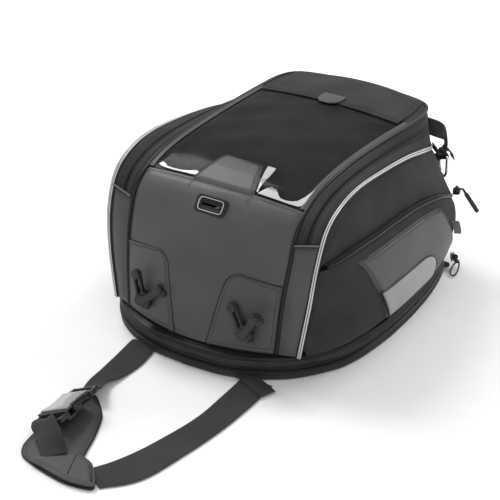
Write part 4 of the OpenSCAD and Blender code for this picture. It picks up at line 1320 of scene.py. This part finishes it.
def pad():
    edge = closed_curve(PAD_EDGE, 220)
    obj = cushion("strap_pad", edge, 0.4 * MM, 6.2 * MM, 14 * MM, PADDING, "harness",
                  ("harness_pad",))
    middle = edge.mean(0)
    inset = edge + unit(middle - edge) * 3.2 * MM
    seam = np.column_stack([inset, np.full(len(inset), 3.6 * MM)])
    stitches("pad_seam", np.vstack([seam, seam[:1]]), UP, "harness", proud=0.5 * MM)
    rim = np.column_stack([edge, np.full(len(edge), 1.7 * MM)])
    sweep("pad_binding", evenly(rim, 3 * MM, closed=True), UP, circle(1.4 * MM, 10), PIPING, "harness",
          closed=True)
    sleeve = rows((-21, -404), (-2, -399), (15, -401), (34, -408), (55, -434), (28, -441), (-7, -436.5),
                  (-24, -432))
    cover = closed_curve(sleeve, 120)
    cushion("pad_sleeve_visual", cover, 4.6 * MM, 9.2 * MM, 7 * MM, PADDING, "harness",
            ("pad_sleeve",), rings=10)
    for k, (x0, y0, x1, y1) in enumerate(((12, -404, 26, -438), (33, -410, 52, -433))):
        seam = np.linspace((x0, y0, 9.4), (x1, y1, 9.2), 12) * MM
        seam[[0, -1], 2] -= 3 * MM
        tube(f"sleeve_seam_{k + 1}", seam, 0.7 * MM, PIPING, "harness", sides=8)


BUCKLE = np.array([-35, -360, 14]) * MM
BUCKLE_AXES = leaning(axes_of(3.8, 0), 25)


def in_buckle(x, y, z):
    right, ahead, up = BUCKLE_AXES
    return (BUCKLE + (right * x + ahead * y + up * z) * MM) / MM


def buckle():
    place = (BUCKLE, BUCKLE_AXES)
    shell = [(-19, -20), (19, -20), (19, -8), (16, -5), (15.5, 8), (17.5, 20), (18.5, 23.5), (-18.5, 23.5),
             (-17.5, 20), (-15.5, 8), (-16, -5), (-19, -8)]
    top = [(-17.6, -15), (17.6, -15), (17.6, -8.6), (14.8, -5.4), (14.2, 8), (16, 19.4), (17, 22.8),
           (-17, 22.8), (-16, 19.4), (-14.2, 8), (-14.8, -5.4), (-17.6, -8.6)]
    housing = [(shell, 0, 2.4), (shell, 9.6, 11.2), (rounded(38, 6, 2, (0, -17)), 0.4, 11),
               (rounded(3, 38, 1, (0, 2)), 1, 3.4)]
    bevelled("buckle_housing_body", housing, place, PLASTIC, "harness", 0.8 * MM, 3,
             ("buckle_housing",))
    # The top plate's light grey is a painted highlight on the buckle's top face.
    bevelled("buckle_top_plate", [(top, 11.0, 12.6)], place, BUCKLE_PAINTED_HIGHLIGHT, "harness", 0.7 * MM, 3)
    for k, part in enumerate(([(-19, -33), (19, -33), (19, -29), (-19, -29)],
                              [(-19, -33), (-14.5, -33), (-14.5, -18), (-19, -18)],
                              [(14.5, -33), (19, -33), (19, -18), (14.5, -18)])):
        bevelled(f"buckle_bar_{k + 1}", [(part, 3.2, 8.8)], place, PLASTIC, "harness", 1.0 * MM, 3)
    slot_bar = rounded(28, 3.2, 1.4, (0, 38.4))
    sides = [([(-17, 25), (-13, 25), (-13, 40), (-16, 40), (-17.4, 32)], 3, 9),
             ([(13, 25), (17, 25), (17.4, 32), (16, 40), (13, 40)], 3, 9),
             (rounded(32, 6, 1.5, (0, 28)), 3, 9), (slot_bar, 3.4, 8.6),
             (rounded(5, 34, 1.5, (0, 9)), 4, 8)]
    bevelled("buckle_male_body", sides, place, PLASTIC, "buckle_male", 0.8 * MM, 3,
             ("buckle_male",))
    for name, side in SIDES:
        stem = [(side * 10, -3.5), (side * 14, -3.5), (side * 14.6, 12), (side * 14, 24.6),
                (side * 10, 24.6), (side * 10.4, 10)]
        button = [(side * 12, -5.4), (side * 18.3, -5.4), (side * 18.6, 1), (side * 17.6, 6.4),
                  (side * 14, 6.4), (side * 12, 0)]
        grips = [(rounded(1.0, 1.4, 0.3, (side * 18.1, -3.6 + 1.9 * k)), 3.6, 8.4) for k in range(5)]
        eye = disc((side * 12, 24.6), 2.5, 20)
        bevelled(f"buckle_prong_body_{name}", [(stem, 3.6, 8.4), (button, 3.5, 8.5), (eye, 3.4, 8.6)] + grips,
                 place, PLASTIC, f"prong_{name}", 0.5 * MM, 2, (f"buckle_prong_{name}",))
    side = BUCKLE_AXES[0]
    over = np.array([(-4, -419, 9.4), (-9, -415, 13.5), (-17, -409, 19.5), (-27, -402, 22.5),
                     in_buckle(0, -35.2, 10.8), in_buckle(0, -30, 10.4), in_buckle(0, -28, 7)]) * MM
    under = np.array([(-4, -419, 8.2), (-14, -411, 8.6), (-24, -403, 11), in_buckle(0, -34, 1.6),
                      in_buckle(0, -29.5, 1.8), in_buckle(0, -28, 5)]) * MM
    start = np.array([0.75, 0.62, 0.05])
    for name, path, wide in (("over", over, 27), ("under", under, 26)):
        t = np.linspace(0, len(path) - 1, 40)
        across = mixed(start, side, eased(t / 3.4))
        webbing(f"buckle_loop_{name}", along(path, t), across, wide * MM, 1.8 * MM, WEB, "harness", 8,
                step=1.5 * MM, replaces=("buckle_web",) if name == "over" else ())


add_camera()
add_studio()
front_panel()
window_tab()
for side_name, sign in SIDES:
    reinforcement_patch(side_name, sign)
window()
lid_rear()
cable_port()
gussets()
pipings()
corners()
walls()
for side_name, sign in SIDES:
    side_pocket(side_name, sign)
    hook(side_name, sign)
    corner_ring(side_name, sign)
side_label()
base_collar()
zips()
base_zip()
handle()
straps()
pad()
buckle()
